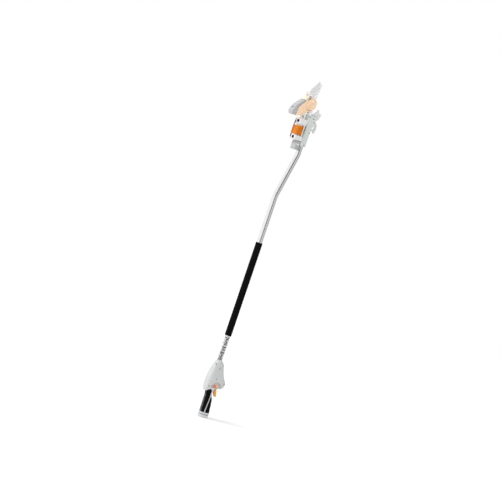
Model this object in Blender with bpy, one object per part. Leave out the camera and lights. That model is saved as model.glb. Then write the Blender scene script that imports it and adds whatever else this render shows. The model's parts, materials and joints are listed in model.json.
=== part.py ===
"""Battery pruner held in a cradle at the end of a bent aluminium extension shaft.

+Z runs up the lower part of the shaft, +X is the side of the triggers, -Y is the near side.
The origin lies on the shaft's axis at the foot. Lengths below are in millimetres.
"""

import math

import bmesh
import bpy
from mathutils import Vector

MM = 0.001
GAP = 0.3
HALF_SPLIT = 0.15
FAR_OUT = 60.0

# Shaft
TUBE_RADIUS = 12.5
TUBE_WALL = 1.5
TUBE_LOW = 218.0
LOWER_BEND = 1050.0
UPPER_BEND = 1257.0
TUBE_OFFSET = 42.0
TUBE_HIGH = 1345.0
BEND_RADIUS = 90.0
TUBE_BORE = TUBE_RADIUS + GAP
SLEEVE_LOW = 386.0
SLEEVE_HIGH = 829.0
SLEEVE_RADIUS = 15.5
SHEATH_RADIUS = 2.0
SHEATH_BORE = 1.15
WIRE_RADIUS = 0.75
WIRE_END_RADIUS = 2.0

# Control handle: level, back, front, half width, squareness
HANDLE_SECTIONS = (
    (22.3, -13.4, 33.4, 17.2, 2.3),
    (30, -13.6, 32.8, 17.2, 2.3),
    (60, -14.2, 29.4, 17.0, 2.3),
    (80, -14.6, 26.6, 17.0, 2.3),
    (100, -14.6, 20.4, 16.4, 2.3),
    (112, -15.6, 16.4, 16.3, 2.4),
    (118, -17.6, 15.4, 17.0, 2.6),
    (121.5, -31.0, 15.2, 20.6, 3.6),
    (132, -32.0, 15.6, 22.0, 3.8),
    (140, -32.6, 18.0, 23.0, 4.0),
    (145, -33.0, 40.0, 23.8, 4.4),
    (149, -33.2, 53.0, 24.4, 5.0),
    (156, -33.4, 58.2, 25.0, 5.0),
    (170, -33.4, 60.0, 25.0, 5.0),
    (182, -32.6, 54.5, 24.8, 5.0),
    (198, -30.8, 43.5, 23.4, 5.0),
    (215, -28.4, 36.5, 21.4, 4.5),
    (230, -25.8, 31.6, 19.4, 4.0),
    (252, -20.6, 25.4, 16.8, 3.2),
    (262, -17.2, 20.4, 15.4, 2.4),
    (265.5, -16.0, 18.2, 14.6, 2.2),
)
GRIP_TOP = 140.0
FLARE_LEVELS = (120.0, 130.0)
FLARE_LIFT = 3.5
SHOULDER_TOP = 150.0
SHOULDER_LIFT = 2.5
CAVITY_TOP = 238.0
PAD_DEPTH = 2.2
GRIP_WALL = 5.0
HOUSING_WALL = 3.0
REAR_PAD_AREA = (
    (-40, 23.5), (0, 23.5), (2.5, 60), (5, 100), (4.5, 118), (1.5, 128), (-3.5, 133.2),
    (-10, 134), (-18, 130), (-25, 124.5), (-26.5, 119), (-40, 117.2),
)
FRONT_PAD_AREA = (
    (4.5, 23.5), (50, 23.5), (50, 98), (10, 98), (8.5, 90), (6.5, 60),
)
BASE_CENTRE_X = 10.0
BASE_HALF_DEPTH = 24.6
BASE_HALF_WIDTH = 18.0
BASE_SQUARENESS = 2.3
# Level and how far the base cap grows or shrinks there
BASE_PROFILE = (
    (0, -2.2), (0.9, -0.7), (2.4, 0), (12, 0), (12.6, -0.9), (14.4, -0.9), (15, 0), (22, 0),
)

TRIGGER_PIVOT = (28.0, 166.0)
TRIGGER_HALF = 5.5
TRIGGER_PIN_RADIUS = 2.0
TRIGGER_PIN_HALF = 15.5
PIN_CLEARANCE = 0.1
TRIGGER_OUTLINE = (
    (33, 160), (33, 150), (32, 142), (32.2, 135), (34, 128), (37.2, 120.5), (39.6, 112.5),
    (40.6, 106), (39.8, 102.6), (37, 101.2), (32.4, 102.2), (28.2, 107.5), (25, 115), (23.2, 124),
    (22.4, 133), (22.8, 142), (23.6, 152), (23.4, 162),
)
LOCK_CENTRE = (10.5, 149.5)
LOCK_RADIUS = 6.5
POCKET_CENTRE = (14.0, 142.5)
POCKET_HALF_DEPTH = 26.5
POCKET_HEIGHT = 29.0
POCKET_FLOOR = 17.0
POCKET_BACKING = 2.5
CABLE_LEVEL = 190.0
CABLE_TURN = 11.0
SHEATH_STOP = 5.5
TRIGGER_SLOT = (6.0, 42.0, 101.6, 153.0)
LOCK_NEAR_END = -20.5
LOCK_LENGTH = 37.5
SCREW_BOSS_RADIUS = 3.6
PIVOT_BOSS_RADIUS = 4.6
PIVOT_BOSS_STARTS = {-1: 8.0, 1: 12.6}
PIVOT_BOSS_REACH = 21.0
SPRING_COIL_RADIUS = 3.6
SPRING_WIRE_RADIUS = 0.5
SPRING_START = 7.4
SPRING_LENGTH = 4.2

# Screws that hold the handle shells: x, z, depth of the head's seat, reach of the boss
SHELL_SCREWS = {
    "shell_screw_grip": (-22.5, 147, 19.0, 22.0),
    "shell_screw_front": (49.5, 171, 20.5, 23.0),
    "shell_screw_middle": (4, 184, 20.5, 23.0),
    "shell_screw_top_front": (18.6, 249, 10.5, 9.0),
    "shell_screw_top_rear": (-16.4, 249, 10.0, 9.0),
}
SCREW_RADIUS = 1.5
HEAD_RADIUS = 3.2
HEAD_HEIGHT = 2.0
TUBE_SCREW = (5.6, 235.0)
COLLAR_BOLT = (47.4, 1307.0)

# Holder at the top of the shaft
HOLDER_HALF = 15.5
HOLDER_OUTLINE = (
    (26.5, 1300), (57.5, 1300), (57.5, 1344), (58.5, 1365), (60, 1392), (66, 1404), (68, 1436),
    (64, 1446), (22.4, 1446), (22.4, 1403), (29, 1403), (29, 1351), (22.4, 1351), (22.4, 1322),
    (26.5, 1318),
)
HOLDER_CAVITY = (
    (32, 1346.5), (54, 1346.5), (55, 1366), (56.4, 1392), (60.5, 1404), (60.5, 1412), (32, 1412),
)
HOLDER_CAVITY_HALF = 9.0
HOLDER_BOSS_RADIUS = 3.4
HOLDER_BOLT_SEAT = 12.2
HOLDER_SCREWS = {
    "holder_screw_low": (25.5, 1344.5, 11.5, 12.0),
    "holder_screw_front": (53.2, 1367, 11.5, 12.0),
    "holder_screw_top": (31, 1436, 11.5, 12.0),
}
CLAW_OUTLINE = (
    (44, 1426), (62, 1426), (66, 1433), (72, 1429.5), (79, 1431.5), (85, 1440), (88, 1450),
    (91, 1460.5), (88.5, 1467.5), (82, 1464), (76.5, 1468.5), (72.8, 1480), (69, 1482.5),
    (64.5, 1471), (55, 1460), (44, 1452),
)
CLAW_HALF = 4.0
CLAW_BOLT = (53.0, 1434.0)
HOOK_OUTLINE = (
    (56, 1415), (64, 1415), (72, 1413.5), (76.5, 1408), (77.2, 1398), (75.6, 1391), (68.6, 1386.2),
    (69.4, 1383.2), (80.6, 1370), (82.6, 1370.4), (87.6, 1384), (88.2, 1398), (86.2, 1411),
    (80.5, 1419.5), (71, 1423.5), (56, 1423.5),
)
HOOK_HALF = 2.5
HOOK_BOLT = (60.5, 1419.3)

LEVER_PIVOT = (35.0, 1400.0)
LEVER_CABLE_ARM = 16.0
LEVER_FOOT = (28.0, 1375.0)
LEVER_FOOT_RADIUS = 3.0
LEVER_HALF = 3.2
SHEATH_TOP = (44.0, 1362.0)
WIRE_TOP = (51.2, 1405.6)

# Cradle round the pruner's grip
CRADLE_BACK = -16.0
CRADLE_FRONT = 22.0
CRADLE_HALF = 24.0
CRADLE_WALL = 4.0
CRADLE_SIDE_WALL = 4.5
CRADLE_LEVELS = ((1320.0, 1341.0), (1392.0, 1418.0))
POST_BACK = 12.6
POST_FRONT = 17.6
STRAP_LEVELS = (1343.0, 1384.0)
STRAP_FRONT = 8.5
STRAP_WALL = 3.5
STRAP_GROOVES = 3
HINGE_CENTRE = (-18.5, 14.5)
HINGE_PIN_RADIUS = 1.8
KNUCKLE_RADIUS = 3.5
HINGE_PIN_LEVELS = (1321.0, 1411.0)
# Screws that hold the cradle on the holder: level and length
CRADLE_SCREWS = {"cradle_screw_low": (1330.0, 9.5), "cradle_screw_top": (1410.0, 13.5)}
FRAME_BOLT_SIDE = -8.0
FRAME_BOLT_LEVELS = {"frame_bolt_low": 1330.0, "frame_bolt_top": 1405.0}

# Pruner: level, back, front, half width, squareness
GRIP_SECTIONS = (
    (1318.3, -1.5, 17.0, 15.5, 2.6),
    (1330, -3.5, 16.6, 16.5, 2.4),
    (1345, -6.5, 15.4, 17.6, 2.3),
    (1370, -9.6, 12.8, 18.2, 2.3),
    (1392, -11.0, 11.6, 17.8, 2.3),
    (1412, -11.0, 11.2, 14.6, 2.4),
    (1420, -9.6, 9.8, 12.0, 2.5),
    (1432, -9.2, 9.8, 11.0, 2.6),
    (1443, -10.4, 12.0, 12.0, 2.6),
    (1460, -15.0, 20.0, 15.0, 2.8),
)
PRUNER_TRIGGER_PIVOT = (5.0, 1398.0)
PRUNER_TRIGGER_OUTLINE = (
    (0.5, 1399), (5, 1403), (10, 1401.5), (14.5, 1394), (20, 1386), (24, 1379.5), (24.4, 1371),
    (22.6, 1363), (18.5, 1358.5), (13, 1358), (9.5, 1362), (8.5, 1375), (5, 1392),
)
PRUNER_TRIGGER_HALF = 4.6
BATTERY_BOX = (2.0, 24.0, 20.0, 1277.0, 1318.0)
RELEASE_CENTRE = (-1.0, 1429.0)
RELEASE_RADIUS = 4.6
RELEASE_FACE = -13.2
LATCH_CENTRE = (13.0, 1303.0)

# Pruner's body in side view, split into its covers
BODY_HALF = 20.0
BODY_OUTLINE = (
    (-45, 1422.5), (-31, 1423), (-12, 1441), (5, 1449), (10, 1456), (33, 1470), (39.5, 1490),
    (39.5, 1504), (32, 1524), (10, 1527.5), (6, 1519), (-16, 1498), (-32, 1478), (-43, 1462),
)
BODY_UNDERSIDE = (
    (-31, 1422.6), (-12, 1440.6), (5, 1448.6), (60, 1448.6), (60, 1600), (-31, 1600),
)
MOTOR_CAP_OUTLINE = (
    (-45.6, 1422.5), (-43.6, 1462.2), (-32.5, 1478.5), (-17.5, 1497), (-27.5, 1502),
    (-46, 1482), (-60, 1464), (-69.5, 1440), (-66, 1424.5),
)
TOP_COVER_OUTLINE = ((-27.5, 1502.8), (-16.4, 1498.6), (5.4, 1519.5), (9.4, 1528), (-9, 1527.4))
TOP_COVER_NEAR_EDGE = -8.2
UNDER_COVER_OUTLINE = ((6.5, 1449), (33, 1449), (38, 1462), (34, 1469.6), (11, 1455.6))
UNDER_COVER_HALF = 14.0
UNDER_COVER_SCREW = (15.0, 1451.5)

COVER_CENTRE = (16.5, 1491.0)
COVER_HALF_LONG = 28.0
COVER_HALF_SHORT = 21.5
COVER_TILT = 15.0
COVER_NEAR = -25.0
COVER_INSIDE = -18.6
COVER_NUT = (16.0, 1505.0)
COVER_RECESS = (-8.5, 1461.0)
BAR_PLANE = -14.0
SPROCKET_CENTRE = (15.0, 1492.0)
NOSE_CENTRE = (25.0, 1581.0)
BAR_HALF_WIDTH = 10.0
BAR_HALF_THICKNESS = 1.6
CHAIN_INNER = 10.4
CHAIN_OUTER = 13.8
CHAIN_TOOTH = 15.0
CHAIN_HALF = 2.6
BAR_SIDE_FACE = -9.5
MOTOR_REAR = (-56.0, 1443.5)
MOTOR_FRONT = (-16.0, 1478.0)
MOTOR_RADIUS = 15.0
ROTOR_SHAFT_END = (1.5, 1493.1)
PINION_RADIUS = 4.0
GEAR_RADIUS = 11.0
GEAR_NEAR = -6.0
SPROCKET_TEETH = 7
SPROCKET_TIP_RADIUS = 9.6
SPROCKET_ROOT_RADIUS = 7.0

HOOD_PIVOT = (-13.0, 1536.0)
HOOD_OUTLINE = (
    (-17.5, 1536), (-15.5, 1547), (-10.5, 1557), (-6.0, 1567), (0.8, 1577), (5.6, 1586),
    (10.0, 1592.5), (14.6, 1596.2), (19.5, 1598.4), (23.5, 1599), (22.5, 1588), (15.5, 1533),
    (-13, 1529.6), (-16.8, 1531.4),
)
HOOD_HOLLOW = (
    (-6.5, 1541), (-9.5, 1549), (-8.0, 1557.5), (-3.6, 1567), (3.0, 1577), (7.6, 1585.6),
    (11.8, 1591.0), (16, 1594.4), (20.2, 1596.7), (23.5, 1597.2), (40, 1609), (40, 1520), (-5, 1520),
)
HOOD_NEAR = -21.5
HOOD_FAR = -6.5
HOOD_WALL = 1.8

MATERIALS = {
    "pale_plastic": ((0.74, 0.745, 0.75), 0.45, 0.0),
    "cap_plastic": ((0.62, 0.63, 0.64), 0.5, 0.0),
    "black_rubber": ((0.02, 0.02, 0.022), 0.8, 0.0),
    "black_foam": ((0.018, 0.018, 0.02), 0.9, 0.0),
    "bright_aluminium": ((0.8, 0.81, 0.82), 0.22, 1.0),
    "orange_plastic": ((0.86, 0.29, 0.03), 0.42, 0.0),
    "red_orange_plastic": ((0.8, 0.16, 0.03), 0.42, 0.0),
    "steel": ((0.55, 0.55, 0.56), 0.3, 1.0),
    "faded_steel": ((0.78, 0.785, 0.79), 0.35, 1.0),
    "dark_steel": ((0.09, 0.065, 0.05), 0.4, 1.0),
    "sheath_plastic": ((0.03, 0.03, 0.032), 0.5, 0.0),
    "holder_plastic": ((0.6, 0.64, 0.63), 0.5, 0.0),
    "cradle_plastic": ((0.78, 0.78, 0.77), 0.5, 0.0),
    "black_plastic": ((0.02, 0.02, 0.02), 0.45, 0.0),
    "faded_grey": ((0.46, 0.47, 0.48), 0.55, 0.0),
    "faded_peach": ((0.95, 0.6, 0.42), 0.5, 0.0),
    "faded_cream": ((0.88, 0.8, 0.68), 0.5, 0.0),
    "faded_white": ((0.85, 0.85, 0.86), 0.45, 0.0),
    "neck_plastic": ((0.4, 0.43, 0.4), 0.55, 0.0),
    "brass": ((0.7, 0.5, 0.2), 0.35, 1.0),
}


def clear_scene():
    for obj in list(bpy.data.objects):
        bpy.data.objects.remove(obj, do_unlink=True)


def make_materials():
    for name, (colour, roughness, metallic) in MATERIALS.items():
        made = bpy.data.materials.new(name)
        made.use_nodes = True
        shader = made.node_tree.nodes["Principled BSDF"]
        shader.inputs["Base Color"].default_value = (*colour, 1.0)
        shader.inputs["Roughness"].default_value = roughness
        shader.inputs["Metallic"].default_value = metallic
        made.diffuse_color = (*colour, 1.0)


def solid(name, points, faces):
    """A closed mesh object from points in millimetres, with its faces turned outwards."""
    mesh = bpy.data.meshes.new(name)
    mesh.from_pydata([Vector(point) * MM for point in points], [], faces)
    work = bmesh.new()
    work.from_mesh(mesh)
    bmesh.ops.recalc_face_normals(work, faces=work.faces)
    work.to_mesh(mesh)
    work.free()
    obj = bpy.data.objects.new(name, mesh)
    bpy.context.scene.collection.objects.link(obj)
    return obj


def apply_modifiers(obj):
    graph = bpy.context.evaluated_depsgraph_get()
    mesh = bpy.data.meshes.new_from_object(obj.evaluated_get(graph))
    obj.modifiers.clear()
    obj.data = mesh


def combined(target, tool, operation):
    modifier = target.modifiers.new(operation.title(), "BOOLEAN")
    modifier.operation = operation
    modifier.solver = target.get("solver", "EXACT")
    modifier.object = tool
    apply_modifiers(target)
    bpy.data.objects.remove(tool, do_unlink=True)
    return target


def cut(target, *tools):
    for tool in tools:
        combined(target, tool, "DIFFERENCE")
    return target


def join(target, *tools):
    for tool in tools:
        combined(target, tool, "UNION")
    return target


def common(target, tool):
    return combined(target, tool, "INTERSECT")


def hollow(obj):
    """Marks a thin-walled piece, where the exact solver leaves open edges, for the manifold one."""
    obj["solver"] = "MANIFOLD"
    return obj


def copy_of(obj, name):
    twin = hollow(bpy.data.objects.new(name, obj.data.copy()))
    bpy.context.scene.collection.objects.link(twin)
    return twin


def bevelled(obj, width, segments=2):
    modifier = obj.modifiers.new("Bevel", "BEVEL")
    modifier.width = width * MM
    modifier.segments = segments
    modifier.limit_method = "ANGLE"
    modifier.angle_limit = math.radians(35)
    apply_modifiers(obj)
    return obj


def finished(obj, name, material, smooth_angle=35):
    """Names a piece, gives it its material and shades its rounded faces smooth."""
    obj.name = name
    obj.data.name = name
    obj.data.materials.clear()
    obj.data.materials.append(bpy.data.materials[material])
    obj.data.shade_smooth()
    obj.data.set_sharp_from_angle(angle=math.radians(smooth_angle))
    return obj


def moved_origin(obj, pivot):
    """Puts the origin of a moving piece on its joint axis, leaving its shape where it is."""
    shift = Vector(pivot) * MM
    for vertex in obj.data.vertices:
        vertex.co -= shift
    obj.location = shift
    return obj


def prism(outline, axis, low, high):
    """Extrudes a closed outline: of (y, z) along X, of (x, z) along Y or of (x, y) along Z."""
    place = {
        "X": lambda a, b, along: (along, a, b),
        "Y": lambda a, b, along: (a, along, b),
        "Z": lambda a, b, along: (a, b, along),
    }[axis]
    count = len(outline)
    points = [place(a, b, low) for a, b in outline]
    points += [place(a, b, high) for a, b in outline]
    faces = [tuple(range(count)), tuple(range(count, 2 * count))]
    for i in range(count):
        after = (i + 1) % count
        faces.append((i, after, after + count, i + count))
    return solid("prism", points, faces)


def block(x_low, x_high, y_low, y_high, z_low, z_high):
    outline = ((x_low, y_low), (x_high, y_low), (x_high, y_high), (x_low, y_high))
    return prism(outline, "Z", z_low, z_high)


def turned(base, axis, profile, segments=24):
    """Turns a (radius, height) profile about an axis. Ends on the axis make it solid."""
    up = Vector(axis).normalized()
    side = up.orthogonal().normalized()
    other = up.cross(side)
    origin = Vector(base)
    rings = []
    points = []
    for radius, height in profile:
        centre = origin + up * height
        if radius == 0:
            rings.append([len(points)])
            points.append(centre)
            continue
        rings.append(list(range(len(points), len(points) + segments)))
        for i in range(segments):
            angle = 2 * math.pi * i / segments
            across = side * (radius * math.cos(angle))
            points.append(centre + across + other * (radius * math.sin(angle)))
    pairs = list(zip(rings, rings[1:]))
    if profile[0][0] > 0:
        pairs.append((rings[-1], rings[0]))
    faces = []
    for low, high in pairs:
        for i in range(segments):
            after = (i + 1) % segments
            places = ((low, i), (low, after), (high, after), (high, i))
            faces.append(tuple(dict.fromkeys(ring[k % len(ring)] for ring, k in places)))
    return solid("turned", points, faces)


def cylinder(base, axis, radius, length, segments=20):
    return turned(base, axis, ((0, 0), (radius, 0), (radius, length), (0, length)), segments)


def cross_cylinder(centre, radius, low, high, segments=20):
    """A cylinder along Y about an (x, z) centre."""
    return cylinder((centre[0], low, centre[1]), (0, 1, 0), radius, high - low, segments)


def ring_faces(rings, closed_loop):
    count = len(rings[0])
    faces = []
    spans = list(zip(range(len(rings)), range(1, len(rings))))
    if closed_loop:
        spans.append((len(rings) - 1, 0))
    for low, high in spans:
        for i in range(count):
            after = (i + 1) % count
            corners = ((low, i), (low, after), (high, after), (high, i))
            faces.append(tuple(ring * count + k for ring, k in corners))
    return faces


def lofted(rings):
    count = len(rings[0])
    points = [point for ring in rings for point in ring]
    faces = ring_faces(rings, False)
    faces.append(tuple(range(count)))
    faces.append(tuple(range(len(points) - count, len(points))))
    return solid("loft", points, faces)


def section_ring(section, grow, count=24):
    level, back, front, half_width, squareness = section
    centre = (back + front) / 2
    half_depth = (front - back) / 2 + grow
    ring = []
    for i in range(count):
        angle = 2 * math.pi * (i + 0.5) / count
        cosine, sine = math.cos(angle), math.sin(angle)
        ring.append((
            centre + half_depth * math.copysign(abs(cosine) ** (2 / squareness), cosine),
            (half_width + grow) * math.copysign(abs(sine) ** (2 / squareness), sine),
            level,
        ))
    return ring


def swept(path, radii, sides, bore=0.0):
    """A round bar along a path, or a tube if it has a bore, of one radius or one for each point."""
    points = [Vector(point) for point in path]
    if not isinstance(radii, (list, tuple)):
        radii = [radii] * len(points)
    side = None
    outer, inner = [], []
    for i, point in enumerate(points):
        before = points[max(i - 1, 0)]
        after = points[min(i + 1, len(points) - 1)]
        along = (after - before).normalized()
        side = along.orthogonal() if side is None else side - along * side.dot(along)
        side.normalize()
        other = along.cross(side)
        ring_directions = [
            side * math.cos(2 * math.pi * k / sides) + other * math.sin(2 * math.pi * k / sides)
            for k in range(sides)
        ]
        outer.append([point + direction * radii[i] for direction in ring_directions])
        inner.append([point + direction * bore for direction in ring_directions])
    if bore == 0:
        return lofted(outer)
    rings = outer + inner[::-1]
    return solid("tube", [point for ring in rings for point in ring], ring_faces(rings, True))


def arc(centre, radius, start, end, steps):
    """(x, z) points on an arc, with angles in degrees from +X towards +Z."""
    points = []
    for i in range(steps + 1):
        angle = math.radians(start + (end - start) * i / steps)
        points.append((centre[0] + radius * math.cos(angle), centre[1] + radius * math.sin(angle)))
    return points


def shaft_route(low, high):
    """The tube's centre line as (x, z) points, straight, out over a slope, and straight again."""
    lean = math.atan2(TUBE_OFFSET, UPPER_BEND - LOWER_BEND)
    reach = BEND_RADIUS * math.tan(lean / 2)
    degrees = math.degrees(lean)
    first = arc((BEND_RADIUS, LOWER_BEND - reach), BEND_RADIUS, 180, 180 - degrees, 4)
    second = arc((TUBE_OFFSET - BEND_RADIUS, UPPER_BEND + reach), BEND_RADIUS, -degrees, 0, 4)
    return [(0, low)] + first + second + [(TUBE_OFFSET, high)]


def in_plane(points):
    return [(x, 0.0, z) for x, z in points]


def cable_route():
    """From the sheath's end beside the hand trigger, up the tube, to its end under the lever."""
    turn_centre = (CABLE_TURN, CABLE_LEVEL + CABLE_TURN)
    turn = arc(turn_centre, CABLE_TURN, 270, 180, 5)
    inside_tube = shaft_route(TUBE_LOW + 6, TUBE_HIGH - 10)
    top = [(TUBE_OFFSET + 0.8, TUBE_HIGH + 6), SHEATH_TOP]
    return [(CABLE_TURN + SHEATH_STOP, CABLE_LEVEL)] + turn + inside_tube + top


def half_of(obj, side, name):
    """The near (-1) or far (1) half of a solid, clear of the middle plane."""
    low, high = sorted((side * HALF_SPLIT, side * FAR_OUT))
    return common(copy_of(obj, name), block(-200, 200, low, high, -10, 1700))


def screw(name, spot, seat, tip, material="steel"):
    """A pan-head screw along Y, seated on the near side."""
    profile = (
        (0, 0), (HEAD_RADIUS * 0.75, 0), (HEAD_RADIUS, 0.7), (HEAD_RADIUS, HEAD_HEIGHT),
        (SCREW_RADIUS, HEAD_HEIGHT), (SCREW_RADIUS, tip + seat + HEAD_HEIGHT - 1),
        (SCREW_RADIUS * 0.5, tip + seat + HEAD_HEIGHT), (0, tip + seat + HEAD_HEIGHT),
    )
    base = (spot[0], -seat - GAP - HEAD_HEIGHT, spot[1])
    made = turned(base, (0, 1, 0), profile, 12)
    slot = block(spot[0] - 2.2, spot[0] + 2.2, base[1] - 1, base[1] + 0.9, spot[1] - 0.4, spot[1] + 0.4)
    return finished(cut(made, slot), name, material)


def screw_holes(spot, seat, tip):
    shank = cross_cylinder(spot, SCREW_RADIUS + GAP, -seat - 1, tip + 1, 12)
    head = cross_cylinder(spot, HEAD_RADIUS + GAP, -FAR_OUT, -seat, 12)
    return join(shank, head)


# ---------------------------------------------------------------- control handle


def base_cap():
    back, front = BASE_CENTRE_X - BASE_HALF_DEPTH, BASE_CENTRE_X + BASE_HALF_DEPTH
    cap = lofted([
        section_ring((level, back, front, BASE_HALF_WIDTH, BASE_SQUARENESS), grow)
        for level, grow in BASE_PROFILE
    ])
    grip_section = HANDLE_SECTIONS[0][1:]
    join(cap, lofted([section_ring((level, *grip_section), -GRIP_WALL - 1.6) for level in (15, 28)]))
    room = lofted([section_ring((level, *grip_section), -GRIP_WALL - 4, 16) for level in (5, 40)])
    return finished(cut(cap, room), "base_cap", "cap_plastic")


def handle_loft(grow, low=0.0, high=1000.0, count=24):
    return lofted([section_ring(s, grow, count) for s in HANDLE_SECTIONS if low <= s[0] <= high])


def arched_pocket(grow, y_low, y_high):
    half_depth = POCKET_HALF_DEPTH + grow
    height = POCKET_HEIGHT + grow
    outline = []
    for i in range(13):
        angle = math.pi * i / 12
        outline.append((
            POCKET_CENTRE[0] + half_depth * math.cos(angle),
            POCKET_CENTRE[1] + height * math.sin(angle),
        ))
    return prism(outline, "Y", y_low, y_high)


def handle_cavity():
    """The hollow inside the shells, in coarser rings than the outside."""
    corners = 16
    rings = [section_ring((20.0, *HANDLE_SECTIONS[0][1:]), -GRIP_WALL, corners)]
    for section in HANDLE_SECTIONS:
        if 50 < section[0] < GRIP_TOP:
            lift = FLARE_LIFT if FLARE_LEVELS[0] < section[0] < FLARE_LEVELS[1] else 0.0
            rings.append(section_ring((section[0] + lift, *section[1:]), -GRIP_WALL, corners))
        elif GRIP_TOP < section[0] < CAVITY_TOP:
            lift = SHOULDER_LIFT if section[0] < SHOULDER_TOP else 0.0
            rings.append(section_ring((section[0] + lift, *section[1:]), -HOUSING_WALL, corners))
    rings.append(section_ring((CAVITY_TOP, -23.8, 29.0, 18.0, 3.6), -HOUSING_WALL, corners))
    cavity = lofted(rings)
    for side in (-1, 1):
        low, high = sorted((side * (POCKET_FLOOR - POCKET_BACKING), side * FAR_OUT))
        cut(cavity, arched_pocket(POCKET_BACKING, low, high))
    return cavity


def handle_bosses(shell):
    for x, z, _, reach in SHELL_SCREWS.values():
        if z < CAVITY_TOP:
            join(shell, cross_cylinder((x, z), SCREW_BOSS_RADIUS, -reach, reach, 12))
    for side, start in PIVOT_BOSS_STARTS.items():
        low, high = sorted((side * start, side * PIVOT_BOSS_REACH))
        join(shell, cross_cylinder(TRIGGER_PIVOT, PIVOT_BOSS_RADIUS, low, high, 20))
    join(shell, cross_cylinder(TUBE_SCREW, 4.2, -17, 17, 20))
    stop_low, stop_high = CABLE_TURN + 1.5, CABLE_TURN + 7.0
    join(shell, block(stop_low, stop_high, -21, 21, CABLE_LEVEL - 6, CABLE_LEVEL + 7))


def handle_cuts(shell):
    for side in (-1, 1):
        low, high = sorted((side * POCKET_FLOOR, side * FAR_OUT))
        cut(shell, arched_pocket(0, low, high))
    slot_back, slot_front, slot_low, slot_high = TRIGGER_SLOT
    half = TRIGGER_HALF + 1
    cut(shell, block(slot_back, slot_front, -half, half, slot_low, slot_high))
    cut(shell, cylinder((0, 0, TUBE_LOW - 3), (0, 0, 1), TUBE_BORE, 80, 24))
    cut(shell, cross_cylinder(LOCK_CENTRE, LOCK_RADIUS + GAP, -30, 30))
    pin_hole = TRIGGER_PIN_RADIUS + PIN_CLEARANCE
    cut(shell, cross_cylinder(TRIGGER_PIVOT, pin_hole, -TRIGGER_PIN_HALF - GAP, TRIGGER_PIN_HALF + GAP))
    sheath_start = (CABLE_TURN - 3, 0, CABLE_LEVEL)
    cut(shell, cylinder(sheath_start, (1, 0, 0), SHEATH_RADIUS + 0.5, SHEATH_STOP + GAP + 3))
    cut(shell, cylinder((CABLE_TURN, 0, CABLE_LEVEL), (1, 0, 0), WIRE_RADIUS + 0.5, 12))
    for x, z, seat, _ in SHELL_SCREWS.values():
        cut(shell, screw_holes((x, z), seat, 12))
    cut(shell, screw_holes(TUBE_SCREW, 15.5, 14))


def grip_shells():
    shell = hollow(handle_loft(0.0))
    cut(shell, prism(REAR_PAD_AREA, "Y", -40, 40), prism(FRONT_PAD_AREA, "Y", -40, 40))
    join(shell, handle_loft(-PAD_DEPTH - GAP, 0, GRIP_TOP, 16))
    cut(shell, handle_cavity())
    handle_bosses(shell)
    handle_cuts(shell)
    for name, side in (("grip_shell_near", -1), ("grip_shell_far", 1)):
        finished(half_of(shell, side, name), name, "pale_plastic")
    bpy.data.objects.remove(shell, do_unlink=True)


def inset_outline(outline, amount):
    """Moves each side of a closed outline inwards by an amount."""
    points = [Vector(point) for point in outline]
    count = len(points)
    doubled_area = sum(points[i - 1].cross(points[i]) for i in range(count))
    turn = 1 if doubled_area > 0 else -1
    moved = []
    for i in range(count):
        before = (points[i] - points[i - 1]).normalized()
        after = (points[(i + 1) % count] - points[i]).normalized()
        inward = Vector((-before.y - after.y, before.x + after.x)) * turn
        scale = amount * 2 / max(inward.length_squared, 0.4)
        moved.append(tuple(points[i] + inward * scale))
    return moved


def grip_pad(area):
    pad = handle_loft(0.4, 0, GRIP_TOP + 10)
    common(pad, prism(inset_outline(area, GAP), "Y", -40, 40))
    cut(pad, handle_loft(-PAD_DEPTH, 0, GRIP_TOP + 20))
    return pad


def pads():
    finished(grip_pad(REAR_PAD_AREA), "rear_pad", "black_rubber")
    finished(grip_pad(FRONT_PAD_AREA), "front_pad", "black_rubber")


def hand_trigger():
    pivot_x, pivot_z = TRIGGER_PIVOT
    trigger = bevelled(prism(TRIGGER_OUTLINE, "Y", -TRIGGER_HALF, TRIGGER_HALF), 1.2)
    join(trigger, cross_cylinder(TRIGGER_PIVOT, 6.2, -6.4, 6.4))
    arm = prism(((25.2, pivot_z), (30.8, pivot_z), (31, 194), (25, 194)), "Y", -3.4, 3.4)
    join(trigger, arm)
    cut(trigger, block(20, 40, -1.2, 1.2, 186, 200))
    cut(trigger, cross_cylinder((28, CABLE_LEVEL), 2.3, -20, 20))
    cut(trigger, cross_cylinder(TRIGGER_PIVOT, TRIGGER_PIN_RADIUS + PIN_CLEARANCE, -20, 20))
    finished(trigger, "hand_trigger", "orange_plastic")
    moved_origin(trigger, (pivot_x, 0, pivot_z))
    nipple = cross_cylinder((28, CABLE_LEVEL), 2.0, -3.4, 3.4)
    moved_origin(finished(nipple, "cable_nipple", "brass"), (pivot_x, 0, pivot_z))
    pin = cross_cylinder(TRIGGER_PIVOT, TRIGGER_PIN_RADIUS, -TRIGGER_PIN_HALF, TRIGGER_PIN_HALF)
    finished(pin, "hand_trigger_pin", "steel")


def hand_trigger_spring():
    """A coil round the pin beside the hub, with one leg to the shell and one to the trigger."""
    turns, steps = 3, 12
    leg_x = TRIGGER_PIVOT[0] + SPRING_COIL_RADIUS
    path = [(leg_x, SPRING_START, TRIGGER_PIVOT[1] - 9)]
    for i in range(turns * steps + 1):
        angle = 2 * math.pi * i / steps
        path.append((
            TRIGGER_PIVOT[0] + SPRING_COIL_RADIUS * math.cos(angle),
            SPRING_START + SPRING_LENGTH * i / (turns * steps),
            TRIGGER_PIVOT[1] + SPRING_COIL_RADIUS * math.sin(angle),
        ))
    path.append((leg_x, SPRING_START + SPRING_LENGTH, TRIGGER_PIVOT[1] + 10))
    finished(swept(path, SPRING_WIRE_RADIUS, 5), "hand_trigger_spring", "steel", 60)


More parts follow.
